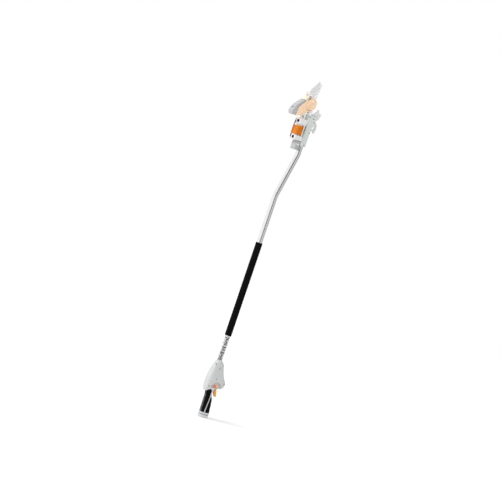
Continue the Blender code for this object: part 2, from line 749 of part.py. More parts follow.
def thumb_lock():
    profile = (
        (0, 0), (LOCK_RADIUS - 1.4, 0), (LOCK_RADIUS - 0.4, 0.4), (LOCK_RADIUS, 1.4),
        (LOCK_RADIUS, LOCK_LENGTH - 1.4), (LOCK_RADIUS - 0.4, LOCK_LENGTH - 0.4),
        (LOCK_RADIUS - 1.4, LOCK_LENGTH), (0, LOCK_LENGTH),
    )
    x, z = LOCK_CENTRE
    lock = turned((x, LOCK_NEAR_END, z), (0, 1, 0), profile, 28)
    cut(lock, block(x - 3, x + 20, -7, 7, z - 20, z - 3.5))
    moved_origin(finished(lock, "thumb_lock", "red_orange_plastic"), (x, 0, z))


def handle_screws():
    for name, (x, z, seat, _) in SHELL_SCREWS.items():
        screw(name, (x, z), seat, 11.5)
    screw("tube_lock_screw", TUBE_SCREW, 15.5, 13.5)


# ---------------------------------------------------------------- shaft


def shaft():
    tube = swept(in_plane(shaft_route(TUBE_LOW, TUBE_HIGH)), TUBE_RADIUS, 24, TUBE_RADIUS - TUBE_WALL)
    hole = SCREW_RADIUS + GAP
    cut(tube, cross_cylinder(TUBE_SCREW, hole, -30, 30, 16))
    cut(tube, cross_cylinder(COLLAR_BOLT, hole, -30, 30, 16))
    finished(tube, "shaft_tube", "bright_aluminium")


def sleeve():
    length = SLEEVE_HIGH - SLEEVE_LOW
    profile = (
        (TUBE_BORE, 0), (SLEEVE_RADIUS - 0.8, 0), (SLEEVE_RADIUS, 0.8),
        (SLEEVE_RADIUS, length - 0.8), (SLEEVE_RADIUS - 0.8, length), (TUBE_BORE, length),
    )
    finished(turned((0, 0, SLEEVE_LOW), (0, 0, 1), profile, 32), "sleeve_grip", "black_foam")


def control_cable():
    route = in_plane(cable_route())
    finished(swept(route, SHEATH_RADIUS, 8, SHEATH_BORE), "cable_sheath", "sheath_plastic", 60)
    start = (25.4, 0.0, CABLE_LEVEL)
    neck = (WIRE_TOP[0] - 0.7, 0.0, WIRE_TOP[1] - 3.9)
    head = (WIRE_TOP[0] - 0.68, 0.0, WIRE_TOP[1] - 3.8)
    path = [start] + route + [neck, head, (WIRE_TOP[0], 0, WIRE_TOP[1])]
    radii = [WIRE_RADIUS] * (len(path) - 2) + [WIRE_END_RADIUS] * 2
    finished(swept(path, radii, 6), "pull_wire", "steel", 60)


# ---------------------------------------------------------------- holder


def holder_shells():
    shell = hollow(bevelled(prism(HOLDER_OUTLINE, "Y", -HOLDER_HALF, HOLDER_HALF), 2.6, 2))
    cut(shell, prism(HOLDER_CAVITY, "Y", -HOLDER_CAVITY_HALF, HOLDER_CAVITY_HALF))
    for x, z, _, reach in HOLDER_SCREWS.values():
        join(shell, cross_cylinder((x, z), HOLDER_BOSS_RADIUS, -reach, reach, 12))
    for side in (-1, 1):
        low, high = sorted((side * 4.2, side * 12.0))
        join(shell, cross_cylinder(LEVER_PIVOT, 4.4, low, high, 20))
    cut(shell, cylinder((TUBE_OFFSET, 0, 1290), (0, 0, 1), TUBE_BORE, TUBE_HIGH - 1290 + GAP, 24))
    cut(shell, cylinder((TUBE_OFFSET + 1, 0, TUBE_HIGH - 1), (0, 0, 1), 5.0, 4, 16))
    cut(shell, block(20, 34, -LEVER_HALF - 1, LEVER_HALF + 1, 1354, 1405.5))
    cut(shell, prism(inset_outline(CLAW_OUTLINE, -GAP), "Y", -CLAW_HALF - GAP, CLAW_HALF + GAP))
    cut(shell, prism(inset_outline(HOOK_OUTLINE, -GAP), "Y", -HOOK_HALF - GAP, HOOK_HALF + GAP))
    pin_hole = TRIGGER_PIN_RADIUS + PIN_CLEARANCE
    cut(shell, cross_cylinder(LEVER_PIVOT, pin_hole, -12.3, 12.3))
    for x, z, seat, _ in HOLDER_SCREWS.values():
        cut(shell, screw_holes((x, z), seat, 10))
    for spot in (CLAW_BOLT, HOOK_BOLT, COLLAR_BOLT):
        cut(shell, screw_holes(spot, HOLDER_BOLT_SEAT, 12))
    for level, length in CRADLE_SCREWS.values():
        cut(shell, cylinder((18, 0, level), (1, 0, 0), SCREW_RADIUS + GAP, length + 1.5, 16))
    for name, side in (("holder_shell_near", -1), ("holder_shell_far", 1)):
        finished(half_of(shell, side, name), name, "holder_plastic")
    bpy.data.objects.remove(shell, do_unlink=True)


def holder_fasteners():
    for name, (x, z, seat, _) in HOLDER_SCREWS.items():
        screw(name, (x, z), seat, 9.5)
    for name, spot in (("claw_bolt", CLAW_BOLT), ("hook_bolt", HOOK_BOLT), ("collar_bolt", COLLAR_BOLT)):
        screw(name, spot, HOLDER_BOLT_SEAT, 11.5)
    for name, (level, length) in CRADLE_SCREWS.items():
        profile = (
            (0, 0), (HEAD_RADIUS, 0), (HEAD_RADIUS, 1.5), (SCREW_RADIUS, 1.5),
            (SCREW_RADIUS, length), (0, length),
        )
        finished(turned((18.2, 0, level), (1, 0, 0), profile, 16), name, "steel")


def claw_and_hook():
    hole = SCREW_RADIUS + GAP
    claw = bevelled(prism(CLAW_OUTLINE, "Y", -CLAW_HALF, CLAW_HALF), 0.9)
    finished(cut(claw, cross_cylinder(CLAW_BOLT, hole, -20, 20, 16)), "claw", "holder_plastic")
    hook = bevelled(prism(HOOK_OUTLINE, "Y", -HOOK_HALF, HOOK_HALF), 0.6)
    finished(cut(hook, cross_cylinder(HOOK_BOLT, hole, -20, 20, 16)), "branch_hook", "faded_grey")


def squeeze_lever():
    pivot_x, pivot_z = LEVER_PIVOT
    foot_x, foot_z = LEVER_FOOT
    arm_end = pivot_x + LEVER_CABLE_ARM + 2.6
    outline = (
        (pivot_x - 5, pivot_z + 1), (pivot_x, pivot_z + 5), (pivot_x + 6, pivot_z + 3),
        (arm_end, pivot_z + 0.6), (arm_end, pivot_z - 4), (pivot_x + 5, pivot_z - 4.5),
        (foot_x + LEVER_FOOT_RADIUS, foot_z), (foot_x, foot_z - LEVER_FOOT_RADIUS),
        (foot_x - LEVER_FOOT_RADIUS, foot_z), (pivot_x - 6, pivot_z - 12),
    )
    lever = bevelled(prism(outline, "Y", -LEVER_HALF, LEVER_HALF), 0.7)
    cut(lever, block(pivot_x + 8.2, 70, -1.2, 1.2, 1380, 1420))
    cut(lever, cross_cylinder(LEVER_PIVOT, TRIGGER_PIN_RADIUS + PIN_CLEARANCE, -20, 20))
    finished(lever, "squeeze_lever", "black_plastic")
    moved_origin(lever, (pivot_x, 0, pivot_z))
    finished(cross_cylinder(LEVER_PIVOT, TRIGGER_PIN_RADIUS, -12, 12), "squeeze_pin", "steel")


def cradle_band(low, high):
    band = hollow(bevelled(block(CRADLE_BACK, CRADLE_FRONT, -CRADLE_HALF, CRADLE_HALF, low, high), 1.6))
    inner_half = CRADLE_HALF - CRADLE_SIDE_WALL
    inside = block(
        CRADLE_BACK + CRADLE_WALL, CRADLE_FRONT - CRADLE_WALL, -inner_half, inner_half, low - 5, high + 5
    )
    return cut(band, inside)


def hinge_lug(low, high):
    x, y = HINGE_CENTRE
    lug = cylinder((x, y, low), (0, 0, 1), 3.6, high - low, 20)
    return join(lug, block(x, CRADLE_BACK + 1.5, y - 2.4, y + 2.4, low, high))


def cradle():
    (low_a, high_a), (low_b, high_b) = CRADLE_LEVELS
    frame = join(cradle_band(low_a, high_a), cradle_band(low_b, high_b))
    for side in (-1, 1):
        low, high = sorted((side * (CRADLE_HALF - CRADLE_SIDE_WALL + 0.4), side * (CRADLE_HALF - 0.8)))
        join(frame, block(POST_BACK, POST_FRONT, low, high, high_a - 3, low_b + 3))
    join(frame, hinge_lug(low_a, low_a + 7), hinge_lug(high_b - 13, high_b - 6))
    x, y = HINGE_CENTRE
    cut(frame, cylinder((x, y, HINGE_PIN_LEVELS[0] - GAP), (0, 0, 1), HINGE_PIN_RADIUS + GAP, 200, 20))
    for level, _ in CRADLE_SCREWS.values():
        cut(frame, cylinder((0, 0, level), (1, 0, 0), HEAD_RADIUS + GAP, 20.0, 16))
        cut(frame, cylinder((10, 0, level), (1, 0, 0), SCREW_RADIUS + GAP, 20, 16))
    for level in FRAME_BOLT_LEVELS.values():
        cut(frame, cylinder((-30, FRAME_BOLT_SIDE, level), (1, 0, 0), 2.3, 20, 16))
    finished(frame, "cradle_frame", "cradle_plastic")


def clamp_strap():
    """The orange clamp: a knuckle on the hinge pin, a back plate and a near plate with a lip."""
    low, high = STRAP_LEVELS
    x, y = HINGE_CENTRE
    back_outside, back_inside = CRADLE_BACK - 2.5, CRADLE_BACK + STRAP_WALL
    near_outside, near_inside = -CRADLE_HALF - 1.2, -CRADLE_HALF + STRAP_WALL
    outline = (
        (back_outside, y - 0.4), (back_outside, -20), (CRADLE_BACK + 2.5, near_outside),
        (STRAP_FRONT, near_outside), (STRAP_FRONT, near_inside), (CRADLE_BACK + 6, near_inside),
        (back_inside, -18), (back_inside, y - 0.4),
    )
    strap = hollow(bevelled(prism(outline, "Z", low, high), 0.8))
    join(strap, cylinder((x, y, low + 0.2), (0, 0, 1), KNUCKLE_RADIUS, high - low - 0.4, 24))
    cut(strap, cylinder((x, y, low - 10), (0, 0, 1), HINGE_PIN_RADIUS + PIN_CLEARANCE, 200, 24))
    for i in range(STRAP_GROOVES):
        level = low + 8 + i * 10
        groove = block(-9, 4.5, -CRADLE_HALF - 5, -CRADLE_HALF - 0.2, level, level + 4)
        cut(strap, bevelled(groove, 0.4, 1))
    finished(strap, "clamp_strap", "orange_plastic")
    moved_origin(strap, (x, y, 0))
    length = HINGE_PIN_LEVELS[1] - HINGE_PIN_LEVELS[0]
    pin = cylinder((x, y, HINGE_PIN_LEVELS[0]), (0, 0, 1), HINGE_PIN_RADIUS, length, 24)
    finished(pin, "hinge_pin", "dark_steel")


def frame_bolts():
    profile = (
        (0, 0), (4.6, 0), (6.2, 1.2), (6.4, 4.6), (2.0, 4.6), (2.0, 9.4), (0, 9.4),
    )
    for name, level in FRAME_BOLT_LEVELS.items():
        bolt = turned((CRADLE_BACK - 4.9, FRAME_BOLT_SIDE, level), (1, 0, 0), profile, 24)
        finished(bolt, name, "black_plastic")


# ---------------------------------------------------------------- pruner


def body_clearance():
    """The space over the body's underside, which the grip's top stops short of."""
    return prism(BODY_UNDERSIDE, "Y", -FAR_OUT, FAR_OUT)


def pruner_grip():
    grip = lofted([section_ring(section, 0.0) for section in GRIP_SECTIONS])
    cut(grip, body_clearance())
    room = lofted([
        section_ring((level, *section[1:]), -3.0, 16)
        for level, section in zip((1300, 1330, 1345, 1370, 1392, 1406), GRIP_SECTIONS)
    ])
    cut(grip, room)
    cut(grip, block(0, 30, -PRUNER_TRIGGER_HALF - 1, PRUNER_TRIGGER_HALF + 1, 1354, 1406))
    for side in (-1, 1):
        low, high = sorted((side * (PRUNER_TRIGGER_HALF + 1.2), side * 16.0))
        join(grip, cross_cylinder(PRUNER_TRIGGER_PIVOT, 4.2, low, high, 16))
    cut(grip, cross_cylinder(PRUNER_TRIGGER_PIVOT, TRIGGER_PIN_RADIUS + PIN_CLEARANCE, -12.3, 12.3))
    cut(grip, cross_cylinder(RELEASE_CENTRE, RELEASE_RADIUS + GAP, -30, RELEASE_FACE + 9.5))
    finished(grip, "pruner_grip", "neck_plastic")


def pruner_controls():
    pivot_x, pivot_z = PRUNER_TRIGGER_PIVOT
    half = PRUNER_TRIGGER_HALF
    trigger = bevelled(prism(PRUNER_TRIGGER_OUTLINE, "Y", -half, half), 0.9)
    cut(trigger, cross_cylinder(PRUNER_TRIGGER_PIVOT, TRIGGER_PIN_RADIUS + PIN_CLEARANCE, -20, 20))
    finished(trigger, "pruner_trigger", "black_plastic")
    moved_origin(trigger, (pivot_x, 0, pivot_z))
    pin = cross_cylinder(PRUNER_TRIGGER_PIVOT, TRIGGER_PIN_RADIUS, -12, 12)
    finished(pin, "pruner_trigger_pin", "steel")
    profile = ((0, 0), (3.4, 0), (4.2, 0.5), (RELEASE_RADIUS, 1.4), (RELEASE_RADIUS, 6), (0, 6))
    button = turned((RELEASE_CENTRE[0], RELEASE_FACE, RELEASE_CENTRE[1]), (0, 1, 0), profile, 20)
    finished(button, "release_button", "faded_grey")
    moved_origin(button, (RELEASE_CENTRE[0], 0, RELEASE_CENTRE[1]))


def battery():
    back, front, half, low, high = BATTERY_BOX
    pack = bevelled(block(back, front, -half, half, low, high), 3.0, 3)
    for level in (low + 8, high - 10):
        groove = block(back - 5, front + 5, -half - 5, half + 5, level, level + 1.2)
        inside = block(back + 0.8, front - 0.8, -half + 0.8, half - 0.8, level - 1, level + 2.2)
        cut(pack, cut(groove, inside))
    x, z = LATCH_CENTRE
    cut(pack, block(x - 7, x + 7, -half - 5, -half + 5, z - 4.5, z + 4.5))
    finished(pack, "battery", "faded_grey")
    latch = bevelled(block(x - 6.6, x + 6.6, -half - 1.2, -half + 2.2, z - 4.1, z + 4.1), 0.7)
    finished(latch, "battery_latch", "faded_white")


def motor_axis():
    rear = Vector((MOTOR_REAR[0], 0, MOTOR_REAR[1]))
    front = Vector((MOTOR_FRONT[0], 0, MOTOR_FRONT[1]))
    return rear, front, (front - rear).normalized()


def motor_space(grow):
    rear, front, along = motor_axis()
    length = (front - rear).length
    return cylinder(rear - along * grow, along, MOTOR_RADIUS + grow, length + 2 * grow, 28)


def gear_space():
    room = cross_cylinder(SPROCKET_CENTRE, GEAR_RADIUS + 1.2, GEAR_NEAR - 0.8, 9.0, 28)
    rear, front, along = motor_axis()
    reach = (Vector((ROTOR_SHAFT_END[0], 0, ROTOR_SHAFT_END[1])) - front).length
    return join(room, cylinder(front - along * 2, along, PINION_RADIUS + 1.4, reach + 3.5, 20))


def body_shells():
    body = bevelled(prism(BODY_OUTLINE, "Y", -BODY_HALF, BODY_HALF), 4.0, 2)
    cut(body, block(COVER_RECESS[0], 60, -40, BAR_SIDE_FACE, COVER_RECESS[1], 1540))
    cut(body, motor_space(0.6))
    cut(body, gear_space())
    cut(body, cross_cylinder(SPROCKET_CENTRE, 3.3, -30, 13.3))
    for name, side in (("body_shell_near", -1), ("body_shell_far", 1)):
        finished(half_of(body, side, name), name, "faded_peach")
    bpy.data.objects.remove(body, do_unlink=True)


def body_covers():
    cap = bevelled(prism(MOTOR_CAP_OUTLINE, "Y", -BODY_HALF + 0.4, BODY_HALF - 0.4), 4.0, 2)
    cut(cap, motor_space(0.6))
    finished(cap, "motor_cap", "faded_grey")
    cover = bevelled(prism(TOP_COVER_OUTLINE, "Y", -BODY_HALF + 1.5, BODY_HALF - 1.5), 2.0, 2)
    join(cover, block(HOOD_PIVOT[0] - 5, HOOD_PIVOT[0] + 5, -4.5, 3.0, 1510, HOOD_PIVOT[1] + 5))
    cut(cover, block(TOP_COVER_NEAR_EDGE, 60, -40, BAR_SIDE_FACE, 1480, 1560))
    cut(cover, cross_cylinder(HOOD_PIVOT, 2.0 + PIN_CLEARANCE, -20, 20))
    finished(cover, "top_cover", "faded_cream")
    under = hollow(prism(UNDER_COVER_OUTLINE, "Y", -UNDER_COVER_HALF, UNDER_COVER_HALF))
    bevelled(under, 1.5)
    cut(under, screw_holes(UNDER_COVER_SCREW, 12.5, 8))
    finished(under, "under_cover", "faded_white")
    screw("under_cover_screw", UNDER_COVER_SCREW, 12.5, 7.5, "dark_steel")


def motor():
    rear, front, along = motor_axis()
    length = (front - rear).length
    profile = (
        (3.2, 0), (MOTOR_RADIUS - 1, 0), (MOTOR_RADIUS, 1), (MOTOR_RADIUS, length - 1),
        (MOTOR_RADIUS - 1, length), (3.2, length),
    )
    finished(turned(rear, along, profile, 28), "motor_can", "steel")
    reach = (Vector((ROTOR_SHAFT_END[0], 0, ROTOR_SHAFT_END[1])) - rear).length
    shaft_profile = (
        (0, 1), (2.5, 1), (2.5, reach - 8), (PINION_RADIUS, reach - 8),
        (PINION_RADIUS - 1.2, reach), (0, reach),
    )
    rotor = turned(rear, along, shaft_profile, 20)
    finished(rotor, "motor_shaft", "steel")
    moved_origin(rotor, rear)


def drive_gear():
    """The gear on its shaft, with the chain sprocket at the shaft's near end."""
    profile = (
        (0, 0), (3.0, 0), (3.0, 12.2), (GEAR_RADIUS, 12.2), (GEAR_RADIUS, 15.4), (3.0, 15.4),
        (3.0, 31), (0, 31),
    )
    gear = turned((SPROCKET_CENTRE[0], -18.0, SPROCKET_CENTRE[1]), (0, 1, 0), profile, 28)
    outline = []
    for i in range(SPROCKET_TEETH * 4):
        angle = 2 * math.pi * i / (SPROCKET_TEETH * 4)
        radius = SPROCKET_TIP_RADIUS if i % 4 in (0, 1) else SPROCKET_ROOT_RADIUS
        outline.append((
            SPROCKET_CENTRE[0] + radius * math.cos(angle),
            SPROCKET_CENTRE[1] + radius * math.sin(angle),
        ))
    join(gear, prism(outline, "Y", BAR_PLANE - 1.6, BAR_PLANE + 1.6))
    finished(gear, "drive_gear", "steel")
    moved_origin(gear, (SPROCKET_CENTRE[0], 0, SPROCKET_CENTRE[1]))


def bar_direction():
    return (Vector(NOSE_CENTRE) - Vector(SPROCKET_CENTRE)).normalized()


def guide_bar():
    along = bar_direction()
    across = Vector((along.y, -along.x))
    tail = Vector(SPROCKET_CENTRE) + along * 13.0
    nose = Vector(NOSE_CENTRE)
    outline = [tuple(tail - across * (BAR_HALF_WIDTH - 2)), tuple(tail + across * (BAR_HALF_WIDTH - 2))]
    outline.append(tuple(tail + along * 5 + across * BAR_HALF_WIDTH))
    for i in range(13):
        angle = math.pi * i / 12
        offset = across * math.cos(angle) + along * math.sin(angle)
        outline.append(tuple(nose + offset * BAR_HALF_WIDTH))
    outline.append(tuple(tail + along * 5 - across * BAR_HALF_WIDTH))
    bar = prism(outline, "Y", BAR_PLANE - BAR_HALF_THICKNESS, BAR_PLANE + BAR_HALF_THICKNESS)
    finished(bar, "guide_bar", "faded_steel")


def chain_loop(steps_straight=10, steps_round=10):
    """(centre, outward) pairs round the bar and the sprocket."""
    along = bar_direction()
    across = Vector((along.y, -along.x))
    nose, drive = Vector(NOSE_CENTRE), Vector(SPROCKET_CENTRE)
    loop = []
    for i in range(steps_straight):
        loop.append((drive.lerp(nose, i / steps_straight), across))
    for i in range(steps_round):
        angle = math.pi * i / steps_round
        loop.append((nose, across * math.cos(angle) + along * math.sin(angle)))
    for i in range(steps_straight):
        loop.append((nose.lerp(drive, i / steps_straight), -across))
    for i in range(steps_round):
        angle = math.pi * i / steps_round
        loop.append((drive, -across * math.cos(angle) - along * math.sin(angle)))
    return loop


def saw_chain():
    rings = []
    for i, (centre, outward) in enumerate(chain_loop()):
        crest = CHAIN_TOOTH if i % 2 else CHAIN_OUTER
        inner = centre + outward * CHAIN_INNER
        outer = centre + outward * crest
        rings.append([
            (inner.x, BAR_PLANE - CHAIN_HALF, inner.y), (outer.x, BAR_PLANE - CHAIN_HALF, outer.y),
            (outer.x, BAR_PLANE + CHAIN_HALF, outer.y), (inner.x, BAR_PLANE + CHAIN_HALF, inner.y),
        ])
    chain = solid("chain", [point for ring in rings for point in ring], ring_faces(rings, True))
    finished(chain, "saw_chain", "faded_steel")


def ellipse(centre, half_long, half_short, tilt, count=28):
    """An ellipse in side view whose long axis leans from +Z towards +X by the tilt in degrees."""
    lean = math.radians(tilt)
    outline = []
    for i in range(count):
        angle = 2 * math.pi * i / count
        across, along = half_short * math.cos(angle), half_long * math.sin(angle)
        outline.append((
            centre[0] + across * math.cos(lean) + along * math.sin(lean),
            centre[1] - across * math.sin(lean) + along * math.cos(lean),
        ))
    return outline


def sprocket_cover():
    centre_x, centre_z = SPROCKET_CENTRE
    outline = ellipse(COVER_CENTRE, COVER_HALF_LONG, COVER_HALF_SHORT, COVER_TILT)
    cover = bevelled(prism(outline, "Y", COVER_NEAR, BAR_SIDE_FACE - GAP), 3.0, 3)
    room = ellipse((centre_x, centre_z + 0.5), 16.4, 16.2, 0)
    cut(cover, prism(room, "Y", COVER_INSIDE, 0))
    cut(cover, block(centre_x - 15.4, centre_x + 18, COVER_INSIDE, 0, centre_z, 1600))
    nut_x, nut_z = COVER_NUT
    cut(cover, cross_cylinder(COVER_NUT, 2.4, -40, 0, 16))
    finished(cover, "sprocket_cover", "faded_peach")
    profile = ((0, 0), (4.6, 0), (5.4, 0.8), (5.4, 4.4), (2.0, 4.4), (2.0, 9.2), (0, 9.2))
    nut = turned((nut_x, COVER_NEAR - 4.6, nut_z), (0, 1, 0), profile, 24)
    finished(nut, "cover_nut", "faded_cream")


def chain_hood():
    hood = bevelled(prism(HOOD_OUTLINE, "Y", HOOD_NEAR, HOOD_FAR), 1.2, 2)
    cut(hood, prism(HOOD_HOLLOW, "Y", HOOD_NEAR + HOOD_WALL, HOOD_FAR - HOOD_WALL))
    cut(hood, cross_cylinder(HOOD_PIVOT, 2.0 + PIN_CLEARANCE, -40, 20))
    finished(hood, "chain_hood", "faded_white")
    moved_origin(hood, (HOOD_PIVOT[0], 0, HOOD_PIVOT[1]))
    finished(cross_cylinder(HOOD_PIVOT, 2.0, -22.5, 2.0), "hood_pin", "faded_steel")


def build():
    clear_scene()
    make_materials()
    base_cap()
    grip_shells()
    pads()
    hand_trigger()
    hand_trigger_spring()
    thumb_lock()
    handle_screws()
    shaft()
    sleeve()
    control_cable()
    holder_shells()
    holder_fasteners()
    claw_and_hook()
    squeeze_lever()
    cradle()
    clamp_strap()
    frame_bolts()
    pruner_grip()
    pruner_controls()
    battery()
    body_shells()
    body_covers()
    motor()
    drive_gear()
    guide_bar()
    saw_chain()
    sprocket_cover()
    chain_hood()


build()
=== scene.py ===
"""Looks of the long-reach garden pruner: materials, detailed pieces, floor, light and camera.

Positions are in metres, or in mm where a comment says so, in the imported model's frame: +Z runs up
the lower shaft, +X is the triggers' side and -Y is the near side.
"""

import json
import math

import bmesh
import bpy
import numpy as np
from mathutils import Matrix, Vector


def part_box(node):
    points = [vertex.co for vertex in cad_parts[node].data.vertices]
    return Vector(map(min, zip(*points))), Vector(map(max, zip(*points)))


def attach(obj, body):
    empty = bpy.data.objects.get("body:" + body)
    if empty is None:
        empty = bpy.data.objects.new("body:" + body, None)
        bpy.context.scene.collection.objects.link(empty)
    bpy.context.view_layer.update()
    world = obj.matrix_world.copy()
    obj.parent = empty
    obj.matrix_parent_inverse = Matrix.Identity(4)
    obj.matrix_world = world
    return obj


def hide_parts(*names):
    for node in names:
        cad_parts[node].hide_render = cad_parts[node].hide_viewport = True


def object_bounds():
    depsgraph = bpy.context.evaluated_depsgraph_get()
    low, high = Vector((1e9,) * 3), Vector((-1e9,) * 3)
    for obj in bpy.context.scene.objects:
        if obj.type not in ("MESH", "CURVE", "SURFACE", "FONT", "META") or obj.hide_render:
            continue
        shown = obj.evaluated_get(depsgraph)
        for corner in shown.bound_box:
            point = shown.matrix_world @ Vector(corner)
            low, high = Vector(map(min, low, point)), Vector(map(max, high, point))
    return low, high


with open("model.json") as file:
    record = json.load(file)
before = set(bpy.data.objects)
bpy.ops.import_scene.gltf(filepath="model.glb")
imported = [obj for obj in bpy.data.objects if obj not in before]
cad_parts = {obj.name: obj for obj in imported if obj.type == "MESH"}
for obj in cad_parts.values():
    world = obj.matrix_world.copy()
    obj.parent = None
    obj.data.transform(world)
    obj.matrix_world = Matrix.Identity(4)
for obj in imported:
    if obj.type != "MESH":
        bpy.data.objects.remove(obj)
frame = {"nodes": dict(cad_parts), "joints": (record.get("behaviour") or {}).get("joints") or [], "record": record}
CAD_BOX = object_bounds()
NODES = frame["nodes"]
JOINTS = {joint["name"]: joint for joint in frame["joints"]}

MM = 0.001
VIEW_AZIMUTH = math.radians(-30.0)
VIEW_ELEVATION = math.radians(2.0)
VIEW_ROLL = math.radians(18.73)
VIEW_DISTANCE = 8.45
LENS = 135.0
SENSOR_WIDTH = 36.0

# The point that the camera looks at: to the camera's right of the lower shaft, and above the foot
AIM_SIDE = -0.0295
AIM_LEVEL = 0.784


# ---------------------------------------------------------------- node helpers


def linear(value):
    value /= 255.0
    return value / 12.92 if value <= 0.04045 else ((value + 0.055) / 1.055) ** 2.4


def shade(red, green, blue):
    """A display colour, 0 to 255, as linear light."""
    return (linear(red), linear(green), linear(blue), 1.0)


def scaled(colour, factor):
    return tuple(min(1.0, channel * factor) for channel in colour[:3]) + (1.0,)


class Graph:
    """A short way to write a node tree."""

    def __init__(self, tree):
        self.tree = tree
        tree.nodes.clear()

    def add(self, kind, values=None, **settings):
        node = self.tree.nodes.new("ShaderNode" + kind)
        for key, value in settings.items():
            setattr(node, key, value)
        for key, value in (values or {}).items():
            if isinstance(value, bpy.types.NodeSocket):
                self.tree.links.new(value, node.inputs[key])
            else:
                node.inputs[key].default_value = value
        return node

    def noise(self, where, scale, detail=3.0, roughness=0.55):
        values = {"Vector": where, "Scale": scale, "Detail": detail, "Roughness": roughness}
        return self.add("TexNoise", values).outputs["Fac"]

    def span(self, value, low, high, to_low=0.0, to_high=1.0):
        """The value carried from one range to another, held at its ends."""
        values = {"Value": value, "From Min": low, "From Max": high, "To Min": to_low, "To Max": to_high}
        return self.add("MapRange", values).outputs["Result"]

    def combine(self, operation, first, second):
        """The result of a two-input math operation on sockets or numbers."""
        node = self.add("Math", operation=operation)
        for socket, value in zip(node.inputs, (first, second)):
            if isinstance(value, bpy.types.NodeSocket):
                self.tree.links.new(value, socket)
            else:
                socket.default_value = value
        return node.outputs["Value"]

    def mixed(self, factor, first, second):
        node = self.add("Mix", {0: factor, 6: first, 7: second}, data_type="RGBA")
        return node.outputs[2]

    def stretched(self, where, scale):
        return self.add("Mapping", {"Vector": where, "Scale": scale}).outputs["Vector"]

    def edges(self, radius, samples=4):
        """(rounded normal, how near an edge the point is)"""
        rounded = self.add("Bevel", {"Radius": radius}, samples=samples).outputs["Normal"]
        plain = self.add("NewGeometry").outputs["Normal"]
        match = self.add("VectorMath", {0: rounded, 1: plain}, operation="DOT_PRODUCT").outputs["Value"]
        return rounded, self.span(match, 0.995, 0.93)


def new_graph(name):
    material = bpy.data.materials.new(name)
    material.use_nodes = True
    return material, Graph(material.node_tree)


def surface_output(graph, shader):
    graph.add("OutputMaterial", {"Surface": shader.outputs[0]})


# ---------------------------------------------------------------- materials


def moulded(name, colour, rough=0.42, grain=0.5, worn=1.35, edge=0.6, specular=0.45):
    """Moulded plastic: fine pebble grain, faint mottling, and paler rubbed edges."""
    material, graph = new_graph(name)
    place = graph.add("TexCoord").outputs["Object"]
    cloud = graph.noise(place, 38.0, 4.0)
    scuff = graph.noise(place, 210.0, 6.0, 0.7)
    pebble = graph.noise(place, 2600.0, 2.0)
    rounded, rim = graph.edges(edge * MM)
    mottled = graph.mixed(graph.span(cloud, 0.32, 0.68), scaled(colour, 0.95), scaled(colour, 1.03))
    rubbed = graph.combine("MULTIPLY", rim, graph.span(scuff, 0.42, 0.62, 0.0, 0.75))
    tint = graph.mixed(rubbed, mottled, scaled(colour, worn))
    gloss = graph.span(scuff, 0.3, 0.7, rough - 0.07, rough + 0.09)
    gloss = graph.combine("SUBTRACT", gloss, graph.combine("MULTIPLY", rubbed, 0.12))
    bump = graph.add(
        "Bump", {"Height": pebble, "Strength": grain, "Distance": 0.00006, "Normal": rounded}
    ).outputs["Normal"]
    shader = graph.add("BsdfPrincipled", {"Base Color": tint, "Roughness": gloss, "Normal": bump})
    shader.inputs["Specular IOR Level"].default_value = specular
    surface_output(graph, shader)
    return material


# Where the palm wear and the painted lit band down the rubber's back end
PALM_AND_LIT_BAND_TOP = 118.0 * MM


def rubber(name, colour):
    """Soft-touch rubber: stippled, dull, greyer on its edges, and paler down its back, which is palm wear and
    partly a painted lit band where the key light falls.
    """
    material, graph = new_graph(name)
    place = graph.add("TexCoord").outputs["Object"]
    cloud = graph.noise(place, 60.0, 5.0, 0.65)
    stipple = graph.add("TexVoronoi", {"Vector": place, "Scale": 1500.0}).outputs["Distance"]
    rounded, rim = graph.edges(0.5 * MM)
    rubbed = graph.combine("MULTIPLY", rim, graph.span(cloud, 0.4, 0.65))
    parts = graph.add("SeparateXYZ", {0: place}).outputs
    off_back = graph.add("Math", {0: parts["Y"]}, operation="ABSOLUTE").outputs["Value"]
    behind = graph.span(parts["X"], 0.0, -4.0 * MM)
    # Paler grey down the grip's back, the side the key light falls on: palm wear, and partly painted light
    palm_wear_and_lit_band = graph.combine("MULTIPLY", behind, graph.span(off_back, 8.5 * MM, 5.0 * MM))
    palm_wear_and_lit_band = graph.combine("MULTIPLY", palm_wear_and_lit_band, graph.span(cloud, 0.3, 0.6))
    palm_wear_and_lit_band = graph.combine("MULTIPLY", palm_wear_and_lit_band, graph.span(parts["Z"], PALM_AND_LIT_BAND_TOP, PALM_AND_LIT_BAND_TOP - 12.0 * MM))
    base = graph.mixed(graph.span(cloud, 0.3, 0.7), scaled(colour, 0.6), scaled(colour, 1.3))
    palm_worn_and_lit = graph.mixed(palm_wear_and_lit_band, base, scaled(colour, 34.0))
    tint = graph.mixed(rubbed, palm_worn_and_lit, scaled(colour, 3.0))
    gloss = graph.span(cloud, 0.3, 0.7, 0.5, 0.72)
    bump = graph.add(
        "Bump", {"Height": stipple, "Strength": 0.6, "Distance": 0.00008, "Normal": rounded}
    ).outputs["Normal"]
    shader = graph.add("BsdfPrincipled", {"Base Color": tint, "Roughness": gloss, "Normal": bump})
    shader.inputs["Specular IOR Level"].default_value = 0.05
    surface_output(graph, shader)
    return material


